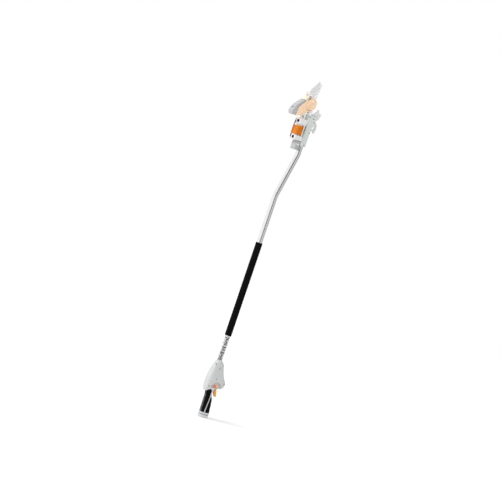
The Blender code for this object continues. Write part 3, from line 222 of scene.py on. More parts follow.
def foam(name, colour):
    """Closed-cell foam: small pores, dusty high spots."""
    material, graph = new_graph(name)
    place = graph.add("TexCoord").outputs["Object"]
    pores = graph.add("TexVoronoi", {"Vector": place, "Scale": 1100.0}).outputs["Distance"]
    cloud = graph.noise(place, 45.0, 6.0, 0.7)
    speck = graph.noise(place, 900.0, 2.0)
    base = graph.mixed(graph.span(cloud, 0.35, 0.7), scaled(colour, 0.6), scaled(colour, 1.3))
    dust = graph.span(speck, 0.62, 0.78, 0.0, 0.4)
    tint = graph.mixed(dust, base, scaled(colour, 2.5))
    gloss = graph.span(cloud, 0.3, 0.7, 0.62, 0.85)
    height = graph.combine("ADD", pores, graph.combine("MULTIPLY", speck, 0.5))
    bump = graph.add(
        "Bump", {"Height": height, "Strength": 0.7, "Distance": 0.00015}
    ).outputs["Normal"]
    shader = graph.add("BsdfPrincipled", {"Base Color": tint, "Roughness": gloss, "Normal": bump})
    shader.inputs["Specular IOR Level"].default_value = 0.04
    surface_output(graph, shader)
    return material


def metal(name, colour, rough, stretch, spread=0.08, metallic=1.0, dirt=0.12):
    """Metal with drawing or grinding lines that run along the axis that is stretched least."""
    material, graph = new_graph(name)
    place = graph.add("TexCoord").outputs["Object"]
    lines = graph.noise(graph.stretched(place, stretch), 1.0, 3.0, 0.6)
    cloud = graph.noise(place, 55.0, 5.0, 0.65)
    rounded, rim = graph.edges(0.4 * MM)
    smudged = graph.mixed(
        graph.span(cloud, 0.45, 0.75, 0.0, dirt), scaled(colour, 1.0), scaled(colour, 0.55)
    )
    lined = graph.mixed(graph.span(lines, 0.35, 0.65, 0.0, 0.22), smudged, scaled(colour, 0.8))
    tint = graph.mixed(graph.combine("MULTIPLY", rim, 0.6), lined, scaled(colour, 1.2))
    gloss = graph.combine(
        "ADD",
        graph.span(lines, 0.3, 0.7, rough - spread, rough + spread),
        graph.span(cloud, 0.4, 0.8, 0.0, 0.08),
    )
    bump = graph.add(
        "Bump", {"Height": lines, "Strength": 0.25, "Distance": 0.00004, "Normal": rounded}
    ).outputs["Normal"]
    shader = graph.add("BsdfPrincipled", {"Base Color": tint, "Roughness": gloss, "Normal": bump})
    shader.inputs["Metallic"].default_value = metallic
    surface_output(graph, shader)
    return material


# How finely a metal's lines repeat along X, Y and Z, per metre
ROUND_LINES = (1500.0, 1500.0, 60.0)
FLAT_LINES = (60.0, 1500.0, 1500.0)
DRAWN_LINES = (1400.0, 1400.0, 9.0)

MATERIALS = {
    "pale_plastic": moulded("pale_plastic", shade(202, 203, 203)),
    "cap_plastic": moulded("cap_plastic", shade(206, 208, 210), 0.48),
    "black_rubber": rubber("black_rubber", shade(14, 14, 15)),
    "black_foam": foam("black_foam", shade(13, 13, 14)),
    "bright_aluminium": metal("bright_aluminium", shade(226, 226, 228), 0.11, DRAWN_LINES, spread=0.04),
    "orange_plastic": moulded("orange_plastic", shade(238, 136, 18), 0.36, specular=0.3),
    "red_orange_plastic": moulded("red_orange_plastic", shade(252, 132, 84), 0.36),
    "steel": metal("steel", shade(176, 177, 180), 0.3, ROUND_LINES),
    "dark_steel": metal("dark_steel", shade(96, 62, 46), 0.42, ROUND_LINES),
    "sheath_plastic": moulded("sheath_plastic", shade(46, 46, 48), 0.5),
    "holder_plastic": moulded("holder_plastic", shade(216, 222, 218), 0.46),
    "cradle_plastic": moulded("cradle_plastic", shade(232, 231, 232), 0.46),
    "black_plastic": moulded("black_plastic", shade(9, 9, 10), 0.4, worn=1.8, specular=0.08),
    "faded_grey": moulded("faded_grey", shade(184, 184, 185), 0.5),
    "faded_peach": moulded("faded_peach", shade(253, 219, 186), 0.46, specular=0.3),
    "faded_cream": moulded("faded_cream", shade(240, 229, 212), 0.46),
    "faded_white": moulded("faded_white", shade(226, 226, 227), 0.4),
    "neck_plastic": moulded("neck_plastic", shade(247, 248, 241), 0.5),
    "faded_steel": metal("faded_steel", shade(255, 255, 255), 0.5, FLAT_LINES, metallic=0.0, dirt=0.03),
    # Grey for painted shade in the thumb lock's arched recess
    "pocket_grey": moulded("pocket_grey", shade(204, 199, 190), 0.5),
    "label_grey": moulded("label_grey", shade(222, 222, 224), 0.5, grain=0.2),
    "ink": moulded("ink", shade(34, 34, 36), 0.5, grain=0.2, worn=2.4, edge=0.3),
    # Cream for a painted highlight on the sprocket cover
    "inlay_cream": moulded("inlay_cream", shade(255, 236, 206), 0.46, specular=0.3),
    "collar_pink": moulded("collar_pink", shade(250, 206, 194), 0.45),
    "brass": metal("brass", shade(206, 176, 110), 0.3, ROUND_LINES),
}

# Nodes that look different from the rest of their slot
OWN_LOOKS = {
    "hand_trigger": moulded("amber_plastic", shade(250, 168, 62), 0.36, specular=0.3),
    "branch_hook": moulded("hook_grey", shade(220, 222, 221), 0.5),
    "claw": moulded("claw_grey", shade(230, 234, 233), 0.48),
    "clamp_strap": moulded("deep_orange", shade(216, 120, 5), 0.38, specular=0.22),
    "sprocket_cover": moulded("warm_peach", shade(255, 214, 180), 0.46, specular=0.3),
    "chain_hood": moulded("hood_white", shade(228, 228, 229), 0.42),
    "under_cover": moulded("under_white", shade(244, 243, 241), 0.42),
}

for entry in frame["record"]["subparts"]:
    slots = NODES[entry["node"]].data.materials
    slots.clear()
    slots.append(OWN_LOOKS.get(entry["node"], MATERIALS[entry["material_slot"]]))


# ---------------------------------------------------------------- mesh helpers


def mesh_piece(name, points, faces, material, body="frame", smooth=True, slot=None):
    """A new piece from points and faces that rides on a body of the frame."""
    mesh = bpy.data.meshes.new(name)
    mesh.from_pydata([tuple(point) for point in points], [], faces)
    mesh.validate()
    shell = bmesh.new()
    shell.from_mesh(mesh)
    bmesh.ops.remove_doubles(shell, verts=shell.verts, dist=1e-7)
    bmesh.ops.recalc_face_normals(shell, faces=shell.faces)
    shell.to_mesh(mesh)
    shell.free()
    for face in mesh.polygons:
        face.use_smooth = smooth
    piece = bpy.data.objects.new(name, mesh)
    bpy.context.scene.collection.objects.link(piece)
    mesh.materials.append(MATERIALS[material])
    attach(piece, body)
    return piece


def grid_faces(rings, around, closed=False):
    """Quads between rings of equal length; closed joins the last ring to the first."""
    faces = []
    for i in range(rings if closed else rings - 1):
        for j in range(around):
            a = i * around + j
            b = i * around + (j + 1) % around
            c = ((i + 1) % rings) * around + (j + 1) % around
            d = ((i + 1) % rings) * around + j
            faces.append((a, b, c, d))
    return faces


def bevel(piece, width):
    modifier = piece.modifiers.new("rounded_edges", "BEVEL")
    modifier.width = width
    modifier.segments = 2
    modifier.limit_method = "ANGLE"
    modifier.angle_limit = math.radians(35)


def slab(outline, axes, low, high):
    """Points and faces of a flat shape pushed from low to high along Y.

    The outline holds (along, out) pairs that axes = (origin, along, out) place in the XZ plane.
    """
    origin, along, out = axes
    points = []
    for level in (low, high):
        for u, v in outline:
            spot = origin + along * u + out * v
            points.append((spot.x, level, spot.z))
    count = len(outline)
    faces = [tuple(range(count)), tuple(range(count, 2 * count))]
    faces += [(i, (i + 1) % count, (i + 1) % count + count, i + count) for i in range(count)]
    return points, faces


PLAIN_AXES = (Vector((0, 0, 0)), Vector((1, 0, 0)), Vector((0, 0, 1)))


def gathered(parts):
    """One list of points and one of faces from several (points, faces) pairs."""
    points, faces = [], []
    for part_points, part_faces in parts:
        start = len(points)
        points += part_points
        faces += [tuple(index + start for index in face) for face in part_faces]
    return points, faces


def tube_along(path, radius, sides=10, closed=False):
    """Points and faces of a round bead along a path."""
    count = len(path)
    path = [Vector(point) for point in path]
    points = []
    for i, spot in enumerate(path):
        before = path[i - 1] if (closed or i) else spot
        after = path[(i + 1) % count] if (closed or i < count - 1) else spot
        along = (after - before).normalized()
        side = along.cross(Vector((0, 1, 0)))
        if side.length < 0.1:
            side = along.cross(Vector((1, 0, 0)))
        side.normalize()
        top = along.cross(side)
        for j in range(sides):
            angle = 2 * math.pi * j / sides
            points.append(tuple(spot + (side * math.cos(angle) + top * math.sin(angle)) * radius))
    faces = grid_faces(count, sides, closed=closed)
    if not closed:
        faces += [tuple(range(sides)), tuple(range((count - 1) * sides, count * sides))]
    return points, faces


def disc(centre, radius, low, high, rounding, sides):
    """Points and faces of a round boss along Y with a rounded low rim."""
    rings = [(radius - rounding, low), (radius - rounding * 0.3, low + rounding * 0.3)]
    rings += [(radius, low + rounding), (radius, high)]
    points = []
    for size, level in rings:
        for j in range(sides):
            angle = 2 * math.pi * j / sides
            points.append((centre[0] + size * math.cos(angle), level, centre[1] + size * math.sin(angle)))
    faces = grid_faces(len(rings), sides)
    faces += [tuple(range(sides)), tuple(range(3 * sides, 4 * sides))]
    return points, faces


# ---------------------------------------------------------------- sleeve and pads


SLEEVE_WALL = 2.2 * MM
SLEEVE_SIDES = 72
SLEEVE_END_LEVELS = (0.0, 0.3 * MM, 0.8 * MM, 1.6 * MM, 2.6 * MM)
SLEEVE_ROW = 1.5 * MM
SPIRAL_STARTS = 6
SPIRAL_PITCH = 16 * MM
SPIRAL_DEPTH = 0.5 * MM
PAD_VOXEL = 0.75 * MM
RIB_PITCH = 5.2 * MM
DIMPLE_PITCH = 4.4 * MM


def sleeve_piece():
    """The foam sleeve: rounded ends and a fine crossed spiral pressed into its skin."""
    low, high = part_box("sleeve_grip")
    centre_x, centre_y = (low.x + high.x) / 2, (low.y + high.y) / 2
    radius, length = (high.x - low.x) / 2, high.z - low.z
    bore = radius - SLEEVE_WALL
    around = SLEEVE_SIDES
    rings = []
    levels = list(SLEEVE_END_LEVELS)
    plain = length - 2 * levels[-1]
    steps = int(plain / SLEEVE_ROW)
    levels += [levels[-1] + plain * i / steps for i in range(1, steps)]
    levels += [length - level for level in reversed(SLEEVE_END_LEVELS)]
    for level in levels:
        from_end = min(level, length - level)
        rounding = 1.3 * MM * max(0.0, 1.0 - from_end / (1.6 * MM)) ** 2
        ring = []
        for j in range(around):
            angle = 2 * math.pi * j / around
            turn_a = SPIRAL_STARTS * angle + 2 * math.pi * level / SPIRAL_PITCH
            turn_b = SPIRAL_STARTS * angle - 2 * math.pi * level / SPIRAL_PITCH
            groove = max(0.0, math.cos(turn_a)) ** 6 + 0.6 * max(0.0, math.cos(turn_b)) ** 6
            depth = SPIRAL_DEPTH * min(1.0, groove) * min(1.0, from_end / (5 * MM))
            size = radius - rounding - depth
            x, y = centre_x + size * math.cos(angle), centre_y + size * math.sin(angle)
            ring.append((x, y, low.z + level))
        rings.append(ring)
    for level in (length, 0.0):
        rings.append([
            (
                centre_x + bore * math.cos(2 * math.pi * j / around),
                centre_y + bore * math.sin(2 * math.pi * j / around),
                low.z + level,
            )
            for j in range(around)
        ])
    points = [point for ring in rings for point in ring]
    piece = mesh_piece("foam_sleeve", points, grid_faces(len(rings), around, closed=True), "black_foam")
    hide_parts("sleeve_grip")


def remeshed_copy(node, name, voxel, material):
    """A fine, even copy of a CAD node, ready for detail."""
    mesh = NODES[node].data.copy()
    mesh.name = name
    shell = bmesh.new()
    shell.from_mesh(mesh)
    bmesh.ops.remove_doubles(shell, verts=shell.verts, dist=1e-6)
    shell.to_mesh(mesh)
    shell.free()
    rough = bpy.data.objects.new(name + "_rough", mesh)
    bpy.context.scene.collection.objects.link(rough)
    modifier = rough.modifiers.new("remesh", "REMESH")
    modifier.mode = "VOXEL"
    modifier.voxel_size = voxel
    graph = bpy.context.evaluated_depsgraph_get()
    fine = bpy.data.meshes.new_from_object(rough.evaluated_get(graph))
    fine.name = name
    bpy.data.objects.remove(rough)
    fine.materials.clear()
    fine.materials.append(MATERIALS[material])
    for face in fine.polygons:
        face.use_smooth = True
    piece = bpy.data.objects.new(name, fine)
    bpy.context.scene.collection.objects.link(piece)
    return piece


def patterned_pad(node, name, centre_low, centre_high, pattern, depth):
    """The rubber insert with its pattern pressed into the outer side.

    The two centres are the grip's middle in X at the pad's lowest and highest level.
    """
    piece = remeshed_copy(node, name, PAD_VOXEL, "black_rubber")
    low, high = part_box(node)
    count = len(piece.data.vertices)
    place = np.empty(count * 3)
    normal = np.empty(count * 3)
    piece.data.vertices.foreach_get("co", place)
    piece.data.vertices.foreach_get("normal", normal)
    place, normal = place.reshape(-1, 3), normal.reshape(-1, 3)
    share = np.clip((place[:, 2] - low.z) / (high.z - low.z), 0, 1)
    centre = centre_low + (centre_high - centre_low) * share
    out = np.stack([place[:, 0] - centre, place[:, 1], np.zeros(count)], axis=1)
    out /= np.linalg.norm(out, axis=1)[:, None]
    facing = np.clip((np.sum(out * normal, axis=1) - 0.45) / 0.3, 0, 1)
    edge = np.minimum(place[:, 2] - low.z, high.z - place[:, 2])
    fade = np.clip(edge / (6 * MM), 0, 1) * facing
    turn = np.arctan2(out[:, 1], -out[:, 0])
    sunk = pattern(place[:, 2], turn) * fade * depth
    place -= out * sunk[:, None]
    piece.data.vertices.foreach_set("co", place.ravel())
    piece.data.update()
    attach(piece, "frame")
    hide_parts(node)


def back_ribs(level, turn):
    """Slanting ribs down the back of the grip that die away on its two sides."""
    phase = (level + np.abs(turn) * 15 * MM) / RIB_PITCH
    groove = np.clip(np.cos(2 * np.pi * phase) * 1.6 - 0.2, 0, 1)
    return groove * np.clip((0.62 - np.abs(turn)) / 0.2, 0, 1)


def front_dimples(level, turn):
    """Small dimples under the fingers."""
    rows = np.cos(2 * np.pi * level / DIMPLE_PITCH)
    columns = np.cos(turn * 18)
    return np.clip(rows * columns * 1.6 - 0.3, 0, 1)


sleeve_piece()
patterned_pad("rear_pad", "rear_pad_ribbed", 9.8 * MM, 0.0, back_ribs, 0.8 * MM)
patterned_pad("front_pad", "front_pad_dimpled", 9.8 * MM, 3.0 * MM, front_dimples, 0.45 * MM)


# ---------------------------------------------------------------- handle details


CAP_GROOVE_LEVEL = 13.5 * MM
CAP_SQUARENESS = 2.3
POCKET_CENTRE = (14.0 * MM, 142.5 * MM)
POCKET_HALF = 26.5 * MM
POCKET_HEIGHT = 29.0 * MM
POCKET_FLOOR = 17.0 * MM
POCKET_FACE = 24.3 * MM
ARCH_STEPS = 28
SEAL_POINTS = 48

# In mm: half the ridges' length, and each ridge's X and Z
RIDGE_HALF = 4.2
RIDGE_PLACES = ((32.3, 133), (34.1, 127.6), (36.1, 122.8), (38.0, 117.6), (39.5, 112.6))


def ring_at(node, level, inset):
    """A closed loop round a node's box at a level, drawn in by an inset."""
    low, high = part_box(node)
    half_x, half_y = (high.x - low.x) / 2 - inset, (high.y - low.y) / 2 - inset
    loop = []
    for j in range(SEAL_POINTS):
        angle = 2 * math.pi * j / SEAL_POINTS
        cosine, sine = math.cos(angle), math.sin(angle)
        loop.append((
            (low.x + high.x) / 2 + half_x * math.copysign(abs(cosine) ** (2 / CAP_SQUARENESS), cosine),
            (low.y + high.y) / 2 + half_y * math.copysign(abs(sine) ** (2 / CAP_SQUARENESS), sine),
            level,
        ))
    return loop


def base_seal():
    """The dark bead that lies in the base cap's groove."""
    loop = ring_at("base_cap", CAP_GROOVE_LEVEL, 0.75 * MM)
    mesh_piece("base_seal", *tube_along(loop, 0.8 * MM, 8, closed=True), "black_rubber")


def circle(centre, radius, level, count):
    """Points of a circle round an axis along Y, with the centre's X and Z."""
    return [
        (centre[0] + radius * math.cos(a), level, centre[1] + radius * math.sin(a))
        for a in (2 * math.pi * j / count for j in range(count))
    ]


def lock_place():
    """(centre in X and Z, radius, near end) of the thumb lock."""
    low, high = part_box("thumb_lock")
    return ((low.x + high.x) / 2, (low.z + high.z) / 2), (high.x - low.x) / 2, low.y


def arch(grow):
    """The recess's half-round edge in X and Z, from right to left, grown outwards."""
    x, z = POCKET_CENTRE
    angles = [math.pi * i / ARCH_STEPS for i in range(ARCH_STEPS + 1)]
    return [
        (x + (POCKET_HALF + grow) * math.cos(a), z + (POCKET_HEIGHT + grow) * math.sin(a)) for a in angles
    ]


def pocket_painted_shade(side, label):
    """The bead round the arched recess and the sheet on its floor, with a hole for the lock: painted recess shade,
    a grey darker than the shell round it.
    """
    # Both pieces are painted shade for the recess, not parts of the real object
    path = [(x, side * POCKET_FACE, z) for x, z in arch(-0.3 * MM)]
    mesh_piece("pocket_shade_rim_" + label, *tube_along(path, 1.1 * MM), "pocket_grey", slot="neck_plastic")
    centre, radius, _ = lock_place()
    radius += 0.6 * MM
    outside = arch(-0.4 * MM)
    start, end = outside[-1][0], outside[0][0]
    sill = outside[0][1] + 0.4 * MM
    outside += [(start + (end - start) * i / 20, sill) for i in range(1, 20)]
    rings = []
    for level in (side * (POCKET_FLOOR + 0.05 * MM), side * (POCKET_FLOOR + 0.6 * MM)):
        inner, outer = [], []
        for x, z in outside:
            away = Vector((x - centre[0], z - centre[1])).normalized()
            inner.append((centre[0] + away.x * radius, level, centre[1] + away.y * radius))
            outer.append((x, level, z))
        rings.append((inner, outer))
    (inner_low, outer_low), (inner_high, outer_high) = rings
    count = len(outside)
    points = outer_low + outer_high + inner_high + inner_low
    mesh_piece(
        "pocket_shade_sheet_" + label, points, grid_faces(4, count, closed=True), "pocket_grey",
        slot="neck_plastic", smooth=False,
    )


def lock_collar():
    """The pale bezel round the thumb lock on the near side."""
    centre, radius, _ = lock_place()
    path = circle(centre, radius + 2.2 * MM, -(POCKET_FLOOR + 1.0 * MM), 36)
    points, faces = tube_along(path, 1.5 * MM, 10, closed=True)
    mesh_piece("lock_collar", points, faces, "collar_pink", slot="red_orange_plastic")


def lock_ring():
    """A raised ring on the thumb lock's near cap."""
    centre, _, near_end = lock_place()
    path = circle(centre, 3.6 * MM, near_end - 0.05 * MM, 28)
    points, faces = tube_along(path, 0.45 * MM, 8, closed=True)
    mesh_piece("lock_ring", points, faces, "red_orange_plastic", "thumb_lock")


def trigger_ridges():
    """Five ridges across the trigger's finger face."""
    parts = []
    for x, z in RIDGE_PLACES:
        path = [(x * MM, y * MM, z * MM) for y in (-RIDGE_HALF, -3.8, -1.5, 1.5, 3.8, RIDGE_HALF)]
        parts.append(tube_along(path, 0.65 * MM, 10))
    ridges = mesh_piece("trigger_ridges", *gathered(parts), "orange_plastic", "hand_trigger")
    ridges.data.materials[0] = OWN_LOOKS["hand_trigger"]


base_seal()
pocket_painted_shade(-1, "near")
pocket_painted_shade(1, "far")
lock_collar()
lock_ring()
trigger_ridges()


# ---------------------------------------------------------------- printed marks


LABEL_HEADING = -121
LABEL_HALF_ANGLE = 66
LABEL_LEVELS = (268 * MM, 384 * MM)
LABEL_SHELL = (12.3 * MM, 12.56 * MM)
MARK_SHELL = (12.4 * MM, 12.68 * MM)

# The bars' levels and lengths are in mm, their headings and half angles in degrees
MARK_START = 272.0
MARK_GAP = 2.3
MARK_LENGTHS = (3.6, 5.4, 2.6, 4.6)
MARK_SHIFTS = (0, 12, -10, 6)
MARK_HALF_ANGLES = (46, 26, 40, 18, 36, 46, 22, 40, 30, 46, 20, 38, 46, 26, 40, 32, 44)


def curved_patch(middle, half_angle, shell, low, high, steps=8):
    """Points and faces of a thin patch round the tube.

    Its heading and half angle are in degrees, and the shell is its inner and outer radius.
    """
    inside, outside = shell
    rows = []
    for size in (outside, inside):
        for z in (low, high):
            rows.append([
                (size * math.cos(angle), size * math.sin(angle), z)
                for angle in (
                    math.radians(middle + half_angle * (2 * j / steps - 1)) for j in range(steps + 1)
                )
            ])
    points = rows[0] + rows[1] + rows[3] + rows[2]
    span = steps + 1
    faces = [
        (ring * span + j, ring * span + j + 1, (ring + 1) % 4 * span + j + 1, (ring + 1) % 4 * span + j)
        for ring in range(4) for j in range(steps)
    ]
    faces += [tuple(ring * span for ring in range(4)), tuple(ring * span + steps for ring in range(4))]
    return points, faces


def tube_label():
    """The pale printed field that the marks stand on."""
    patch = curved_patch(LABEL_HEADING, LABEL_HALF_ANGLE, LABEL_SHELL, *LABEL_LEVELS, 24)
    mesh_piece("tube_label", *patch, "label_grey", slot="black_plastic")


def tube_marks():
    """Plain bars printed round the near side of the bare tube, without any lettering."""
    parts = []
    level = MARK_START
    for i, half_angle in enumerate(MARK_HALF_ANGLES):
        length = MARK_LENGTHS[i % 4]
        heading = LABEL_HEADING + MARK_SHIFTS[(i * 3) % 4]
        parts.append(curved_patch(heading, half_angle, MARK_SHELL, level * MM, (level + length) * MM))
        level += length + MARK_GAP
    mesh_piece("tube_marks", *gathered(parts), "ink", slot="black_plastic")


tube_label()
tube_marks()


# ---------------------------------------------------------------- chain and bar


BAR_HALF = 10.0 * MM
LINKS = 34
RAIL_OFFSET = 7.6 * MM

# In mm: along the bar from the nose's centre, and across it
NOSE_RIVETS = ((-3.0, 0.0), (-10.0, 4.2), (-10.0, -4.2), (-17.0, 0.0))

# Link outlines in mm: along the chain's travel, and outwards from its pitch line
DRIVE_LINK = (
    (-3.3, -1.2), (-2.2, -1.6), (0.8, -1.6), (3.3, -1.2), (3.3, 1.0), (2.4, 1.3), (-2.4, 1.3),
    (-3.3, 1.0),
)
STRAP = (
    (-4.9, -0.6), (-4.3, -1.3), (-3.2, -1.35), (0, -0.95), (3.2, -1.35), (4.3, -1.3), (4.9, -0.6),
    (4.9, 0.6), (4.2, 1.3), (3.2, 1.35), (0, 1.05), (-3.2, 1.35), (-4.2, 1.3), (-4.9, 0.6),
)
CUTTER = (
    (-4.9, -0.6), (-4.2, -1.3), (4.2, -1.3), (4.9, -0.6), (4.9, 0.8), (4.3, 1.7), (2.7, 1.5),
    (1.3, 0.9), (0.6, 1.0), (0.2, 2.4), (-3.9, 2.0), (-4.9, 0.4),
)
CUTTER_TOP = ((0.5, 2.1), (0.4, 2.75), (-3.7, 2.3), (-3.7, 1.8))


def bar_line():
    """(drive centre, nose centre, direction, bar's middle plane) in metres."""
    drive = Vector(JOINTS["chain_drive_spin"]["pos_m"])
    low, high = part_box("guide_bar")
    nose = Vector((high.x - BAR_HALF, 0, high.z - BAR_HALF))
    plane = (low.y + high.y) / 2
    drive.y = nose.y = plane
    return drive, nose, (nose - drive).normalized(), plane


def chain_spot(distance, drive, nose, along, reach):
    """(point on the pitch line, direction of travel, outward) at a distance round the loop."""
    across = Vector((along.z, 0, -along.x))
    straight = (nose - drive).length
    bend = math.pi * reach
    distance %= 2 * (straight + bend)
    if distance < straight:
        return drive + along * distance + across * reach, along, across
    distance -= straight
    if distance < bend:
        angle = distance / reach
        out = across * math.cos(angle) + along * math.sin(angle)
        return nose + out * reach, along * math.cos(angle) - across * math.sin(angle), out
    distance -= bend
    if distance < straight:
        return nose - along * distance - across * reach, -along, -across
    angle = (distance - straight) / reach
    out = -across * math.cos(angle) - along * math.sin(angle)
    return drive + out * reach, -along * math.cos(angle) + across * math.sin(angle), out


def chain_piece():
    """Drive links, tie straps, cutters and rivets round the bar.

    Each plate reaches from low to high in mm across the bar's middle plane.
    """
    drive, nose, along, plane = bar_line()
    reach = BAR_HALF + 1.9 * MM
    loop = 2 * ((nose - drive).length + math.pi * reach)
    pitch = loop / LINKS
    rivet_half = 1.75 * MM
    parts = []

    def plate(outline, axes, low, high):
        scaled_outline = [(u * MM, v * MM) for u, v in outline]
        parts.append(slab(scaled_outline, axes, plane + low * MM, plane + high * MM))

    for i in range(LINKS):
        axes = chain_spot(i * pitch, drive, nose, along, reach)
        if i % 2 == 0:
            plate(DRIVE_LINK, axes, -0.55, 0.55)
        elif i % 4 == 1:
            side = 1 if i % 8 == 1 else -1
            low, high = sorted((side * 0.6, side * 1.5))
            plate(CUTTER, axes, low, high)
            plate(STRAP, axes, -high, -low)
            low, high = sorted((side * 2.4, side * 0.1))
            plate(CUTTER_TOP, axes, low, high)
        else:
            plate(STRAP, axes, 0.6, 1.4)
            plate(STRAP, axes, -1.4, -0.6)
        joint = chain_spot((i + 0.5) * pitch, drive, nose, along, reach)[0]
        centre = (joint.x, joint.z)
        parts.append(disc(centre, 0.85 * MM, plane - rivet_half, plane + rivet_half, 0.2 * MM, 10))
    piece = mesh_piece("chain_links", *gathered(parts), "faded_steel", smooth=False)
    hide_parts("saw_chain")


def bar_details():
    """Rivets of the nose wheel and a pressed rail line on each face of the guide bar."""
    drive, nose, along, _ = bar_line()
    across = Vector((along.z, 0, -along.x))
    low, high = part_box("guide_bar")
    parts = []
    for u, v in NOSE_RIVETS:
        spot = nose + along * u * MM + across * v * MM
        parts.append(disc((spot.x, spot.z), 1.5 * MM, low.y - 0.35 * MM, high.y + 0.35 * MM, 0.25 * MM, 18))
    mesh_piece("bar_rivets", *gathered(parts), "steel")
    parts = []
    for side in (-1, 1):
        for face, out in ((low.y, -1), (high.y, 1)):
            start = drive + along * 24 * MM + across * side * RAIL_OFFSET
            end = nose - along * 1.0 * MM + across * side * RAIL_OFFSET
            spots = [start.lerp(end, i / 12) for i in range(13)]
            path = [(spot.x, face + out * 0.05 * MM, spot.z) for spot in spots]
            parts.append(tube_along(path, 0.3 * MM, 6))
    mesh_piece("bar_rail_lines", *gathered(parts), "faded_steel")


chain_piece()
bar_details()


# ---------------------------------------------------------------- saw body details


# In mm: centres as X and Z, and halves as long and short
LAND_CENTRE = (16.5, 1491.0)
LAND_HALVES = (28.5, 22.0)
LAND_LEFT = -8.3
# The painted highlight's ellipse on the sprocket cover
HIGHLIGHT_CENTRE = (25.5, 1489.0)
HIGHLIGHT_HALVES = (18.0, 3.4)


def leaning_ellipse(centre, halves, lean, start, end, steps):
    """(x, z) points in metres on an ellipse whose long axis leans from +Z towards +X.

    The centre and the long and short halves are in mm, and the angles in degrees.
    """
    tilt = math.radians(lean)
    points = []
    for i in range(steps + 1):
        angle = math.radians(start + (end - start) * i / steps)
        across, along = halves[1] * math.cos(angle), halves[0] * math.sin(angle)
        points.append((
            (centre[0] + across * math.cos(tilt) + along * math.sin(tilt)) * MM,
            (centre[1] - across * math.sin(tilt) + along * math.cos(tilt)) * MM,
        ))
    return points


def cover_land():
    """The raised land of the near shell that closes round the sprocket cover's lower left."""
    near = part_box("body_shell_near")[0].y
    outline = leaning_ellipse(LAND_CENTRE, LAND_HALVES, 15.0, 158.0, 296.0, 30)
    outline += [(LAND_LEFT * MM, 1461.2 * MM), (LAND_LEFT * MM, 1504.6 * MM)]
    shape = slab(outline, PLAIN_AXES, near + 0.5 * MM, near + 10.0 * MM)
    piece = mesh_piece("cover_land", *shape, "faded_peach", smooth=False)
    bevel(piece, 0.5 * MM)


def cover_painted_highlight():
    """A painted highlight on the sprocket cover's face: a thin cream slab where light falls."""
    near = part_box("sprocket_cover")[0].y
    outline = leaning_ellipse(HIGHLIGHT_CENTRE, HIGHLIGHT_HALVES, 22.0, 0.0, 345.0, 23)
    shape = slab(outline, PLAIN_AXES, near - 0.25 * MM, near + 1.0 * MM)
    piece = mesh_piece("cover_painted_highlight", *shape, "inlay_cream", smooth=False, slot="faded_cream")
    bevel(piece, 0.2 * MM)


cover_land()
cover_painted_highlight()


# ---------------------------------------------------------------- floor, light and camera


FLOOR_HALF = 9.0
LAMP_DISTANCE = 4.0

# (degrees from the heading straight behind the camera, brightness)
PANORAMA = (
    (-180, 0.6), (-110, 1.2), (-16, 1.2), (-11, 0.06), (17, 0.06), (24, 0.92), (66, 0.92),
    (78, 0.35), (96, 0.35), (106, 0.7), (150, 0.7),
)


def floor():
    mesh = bpy.data.meshes.new("floor")
    half = FLOOR_HALF
    corners = [(-half, -half, 0), (half, -half, 0), (half, half, 0), (-half, half, 0)]
    mesh.from_pydata(corners, [], [(0, 1, 2, 3)])
    made = bpy.data.objects.new("floor", mesh)
    made.location.z = CAD_BOX[0].z - 0.0005
    bpy.context.scene.collection.objects.link(made)
    material, graph = new_graph("studio_floor")
    place = graph.add("TexCoord").outputs["Object"]
    cloud = graph.noise(place, 3.0, 4.0)
    tint = graph.mixed(cloud, shade(250, 250, 250), shade(252, 252, 252))
    shader = graph.add("BsdfPrincipled", {"Base Color": tint, "Roughness": 0.9})
    shader.inputs["Specular IOR Level"].default_value = 0.0
    surface_output(graph, shader)
    mesh.materials.append(material)


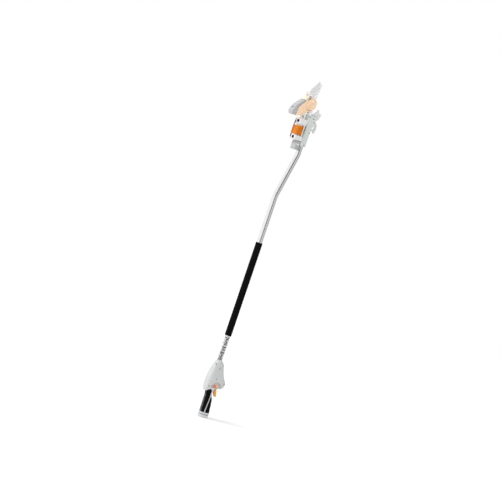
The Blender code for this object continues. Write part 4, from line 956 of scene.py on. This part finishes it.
def studio():
    """Pale all round, with a dark strip behind the camera and a grey one at its right."""
    world = bpy.data.worlds.new("studio")
    bpy.context.scene.world = world
    world.use_nodes = True
    graph = Graph(world.node_tree)
    direction = graph.add("TexCoord").outputs["Generated"]
    parts = graph.add("SeparateXYZ", {0: direction})
    heading = graph.add("Math", operation="ARCTAN2")
    graph.tree.links.new(parts.outputs["Y"], heading.inputs[0])
    graph.tree.links.new(parts.outputs["X"], heading.inputs[1])
    turn = graph.span(heading.outputs["Value"], -math.pi, math.pi)
    panorama = graph.add("ValToRGB", {"Fac": turn})
    ramp = panorama.color_ramp
    behind = math.degrees(VIEW_AZIMUTH) - 90.0

    def spot(offset):
        return ((behind + offset + 180.0) % 360.0) / 360.0

    ordered = sorted((spot(offset), value) for offset, value in PANORAMA)
    while len(ramp.elements) > 1:
        ramp.elements.remove(ramp.elements[-1])
    ramp.elements[0].position = ordered[0][0]
    ramp.elements[0].color = (ordered[0][1],) * 3 + (1.0,)
    for position, value in ordered[1:]:
        ramp.elements.new(position).color = (value,) * 3 + (1.0,)
    level = graph.add("Math", {0: parts.outputs["Z"]}, operation="ABSOLUTE").outputs["Value"]
    light = graph.mixed(graph.span(level, 0.25, 0.6), panorama.outputs["Color"], (0.8, 0.8, 0.8, 1.0))
    seen = graph.add("LightPath").outputs["Is Camera Ray"]
    colour = graph.mixed(seen, light, (1.0, 1.0, 1.0, 1.0))
    background = graph.add("Background", {"Color": colour, "Strength": 1.0})
    graph.add("OutputWorld", {"Surface": background.outputs[0]})


def lamp(name, heading, height, strength, spread):
    """A soft sun that shines from a heading and height, in degrees."""
    light = bpy.data.lights.new(name, "SUN")
    light.energy = strength
    light.angle = math.radians(spread)
    made = bpy.data.objects.new(name, light)
    a, e = math.radians(heading), math.radians(height)
    towards = Vector((math.cos(a) * math.cos(e), math.sin(a) * math.cos(e), math.sin(e)))
    made.rotation_mode = "QUATERNION"
    made.rotation_quaternion = towards.to_track_quat("Z", "Y")
    made.location = towards * LAMP_DISTANCE
    bpy.context.scene.collection.objects.link(made)


def camera():
    data = bpy.data.cameras.new("camera")
    data.type = "PERSP"
    data.lens = LENS
    data.sensor_width = SENSOR_WIDTH
    data.clip_end = 200.0
    made = bpy.data.objects.new("camera", data)
    bpy.context.scene.collection.objects.link(made)
    bpy.context.scene.camera = made
    a, e = VIEW_AZIMUTH, VIEW_ELEVATION
    back = Vector((math.sin(a) * math.cos(e), -math.cos(a) * math.cos(e), math.sin(e)))
    side = Vector((math.cos(a), math.sin(a), 0.0))
    up = back.cross(side)
    image_side = side * math.cos(VIEW_ROLL) + up * math.sin(VIEW_ROLL)
    image_up = up * math.cos(VIEW_ROLL) - side * math.sin(VIEW_ROLL)
    target = side * AIM_SIDE + Vector((0, 0, AIM_LEVEL))
    turned = Matrix((image_side, image_up, back)).transposed()
    made.matrix_world = Matrix.Translation(target + back * VIEW_DISTANCE) @ turned.to_4x4()


floor()
studio()
lamp("key_light", heading=185.0, height=48.0, strength=1.35, spread=25.0)
camera()
scene = bpy.context.scene
scene.view_settings.view_transform = "Standard"
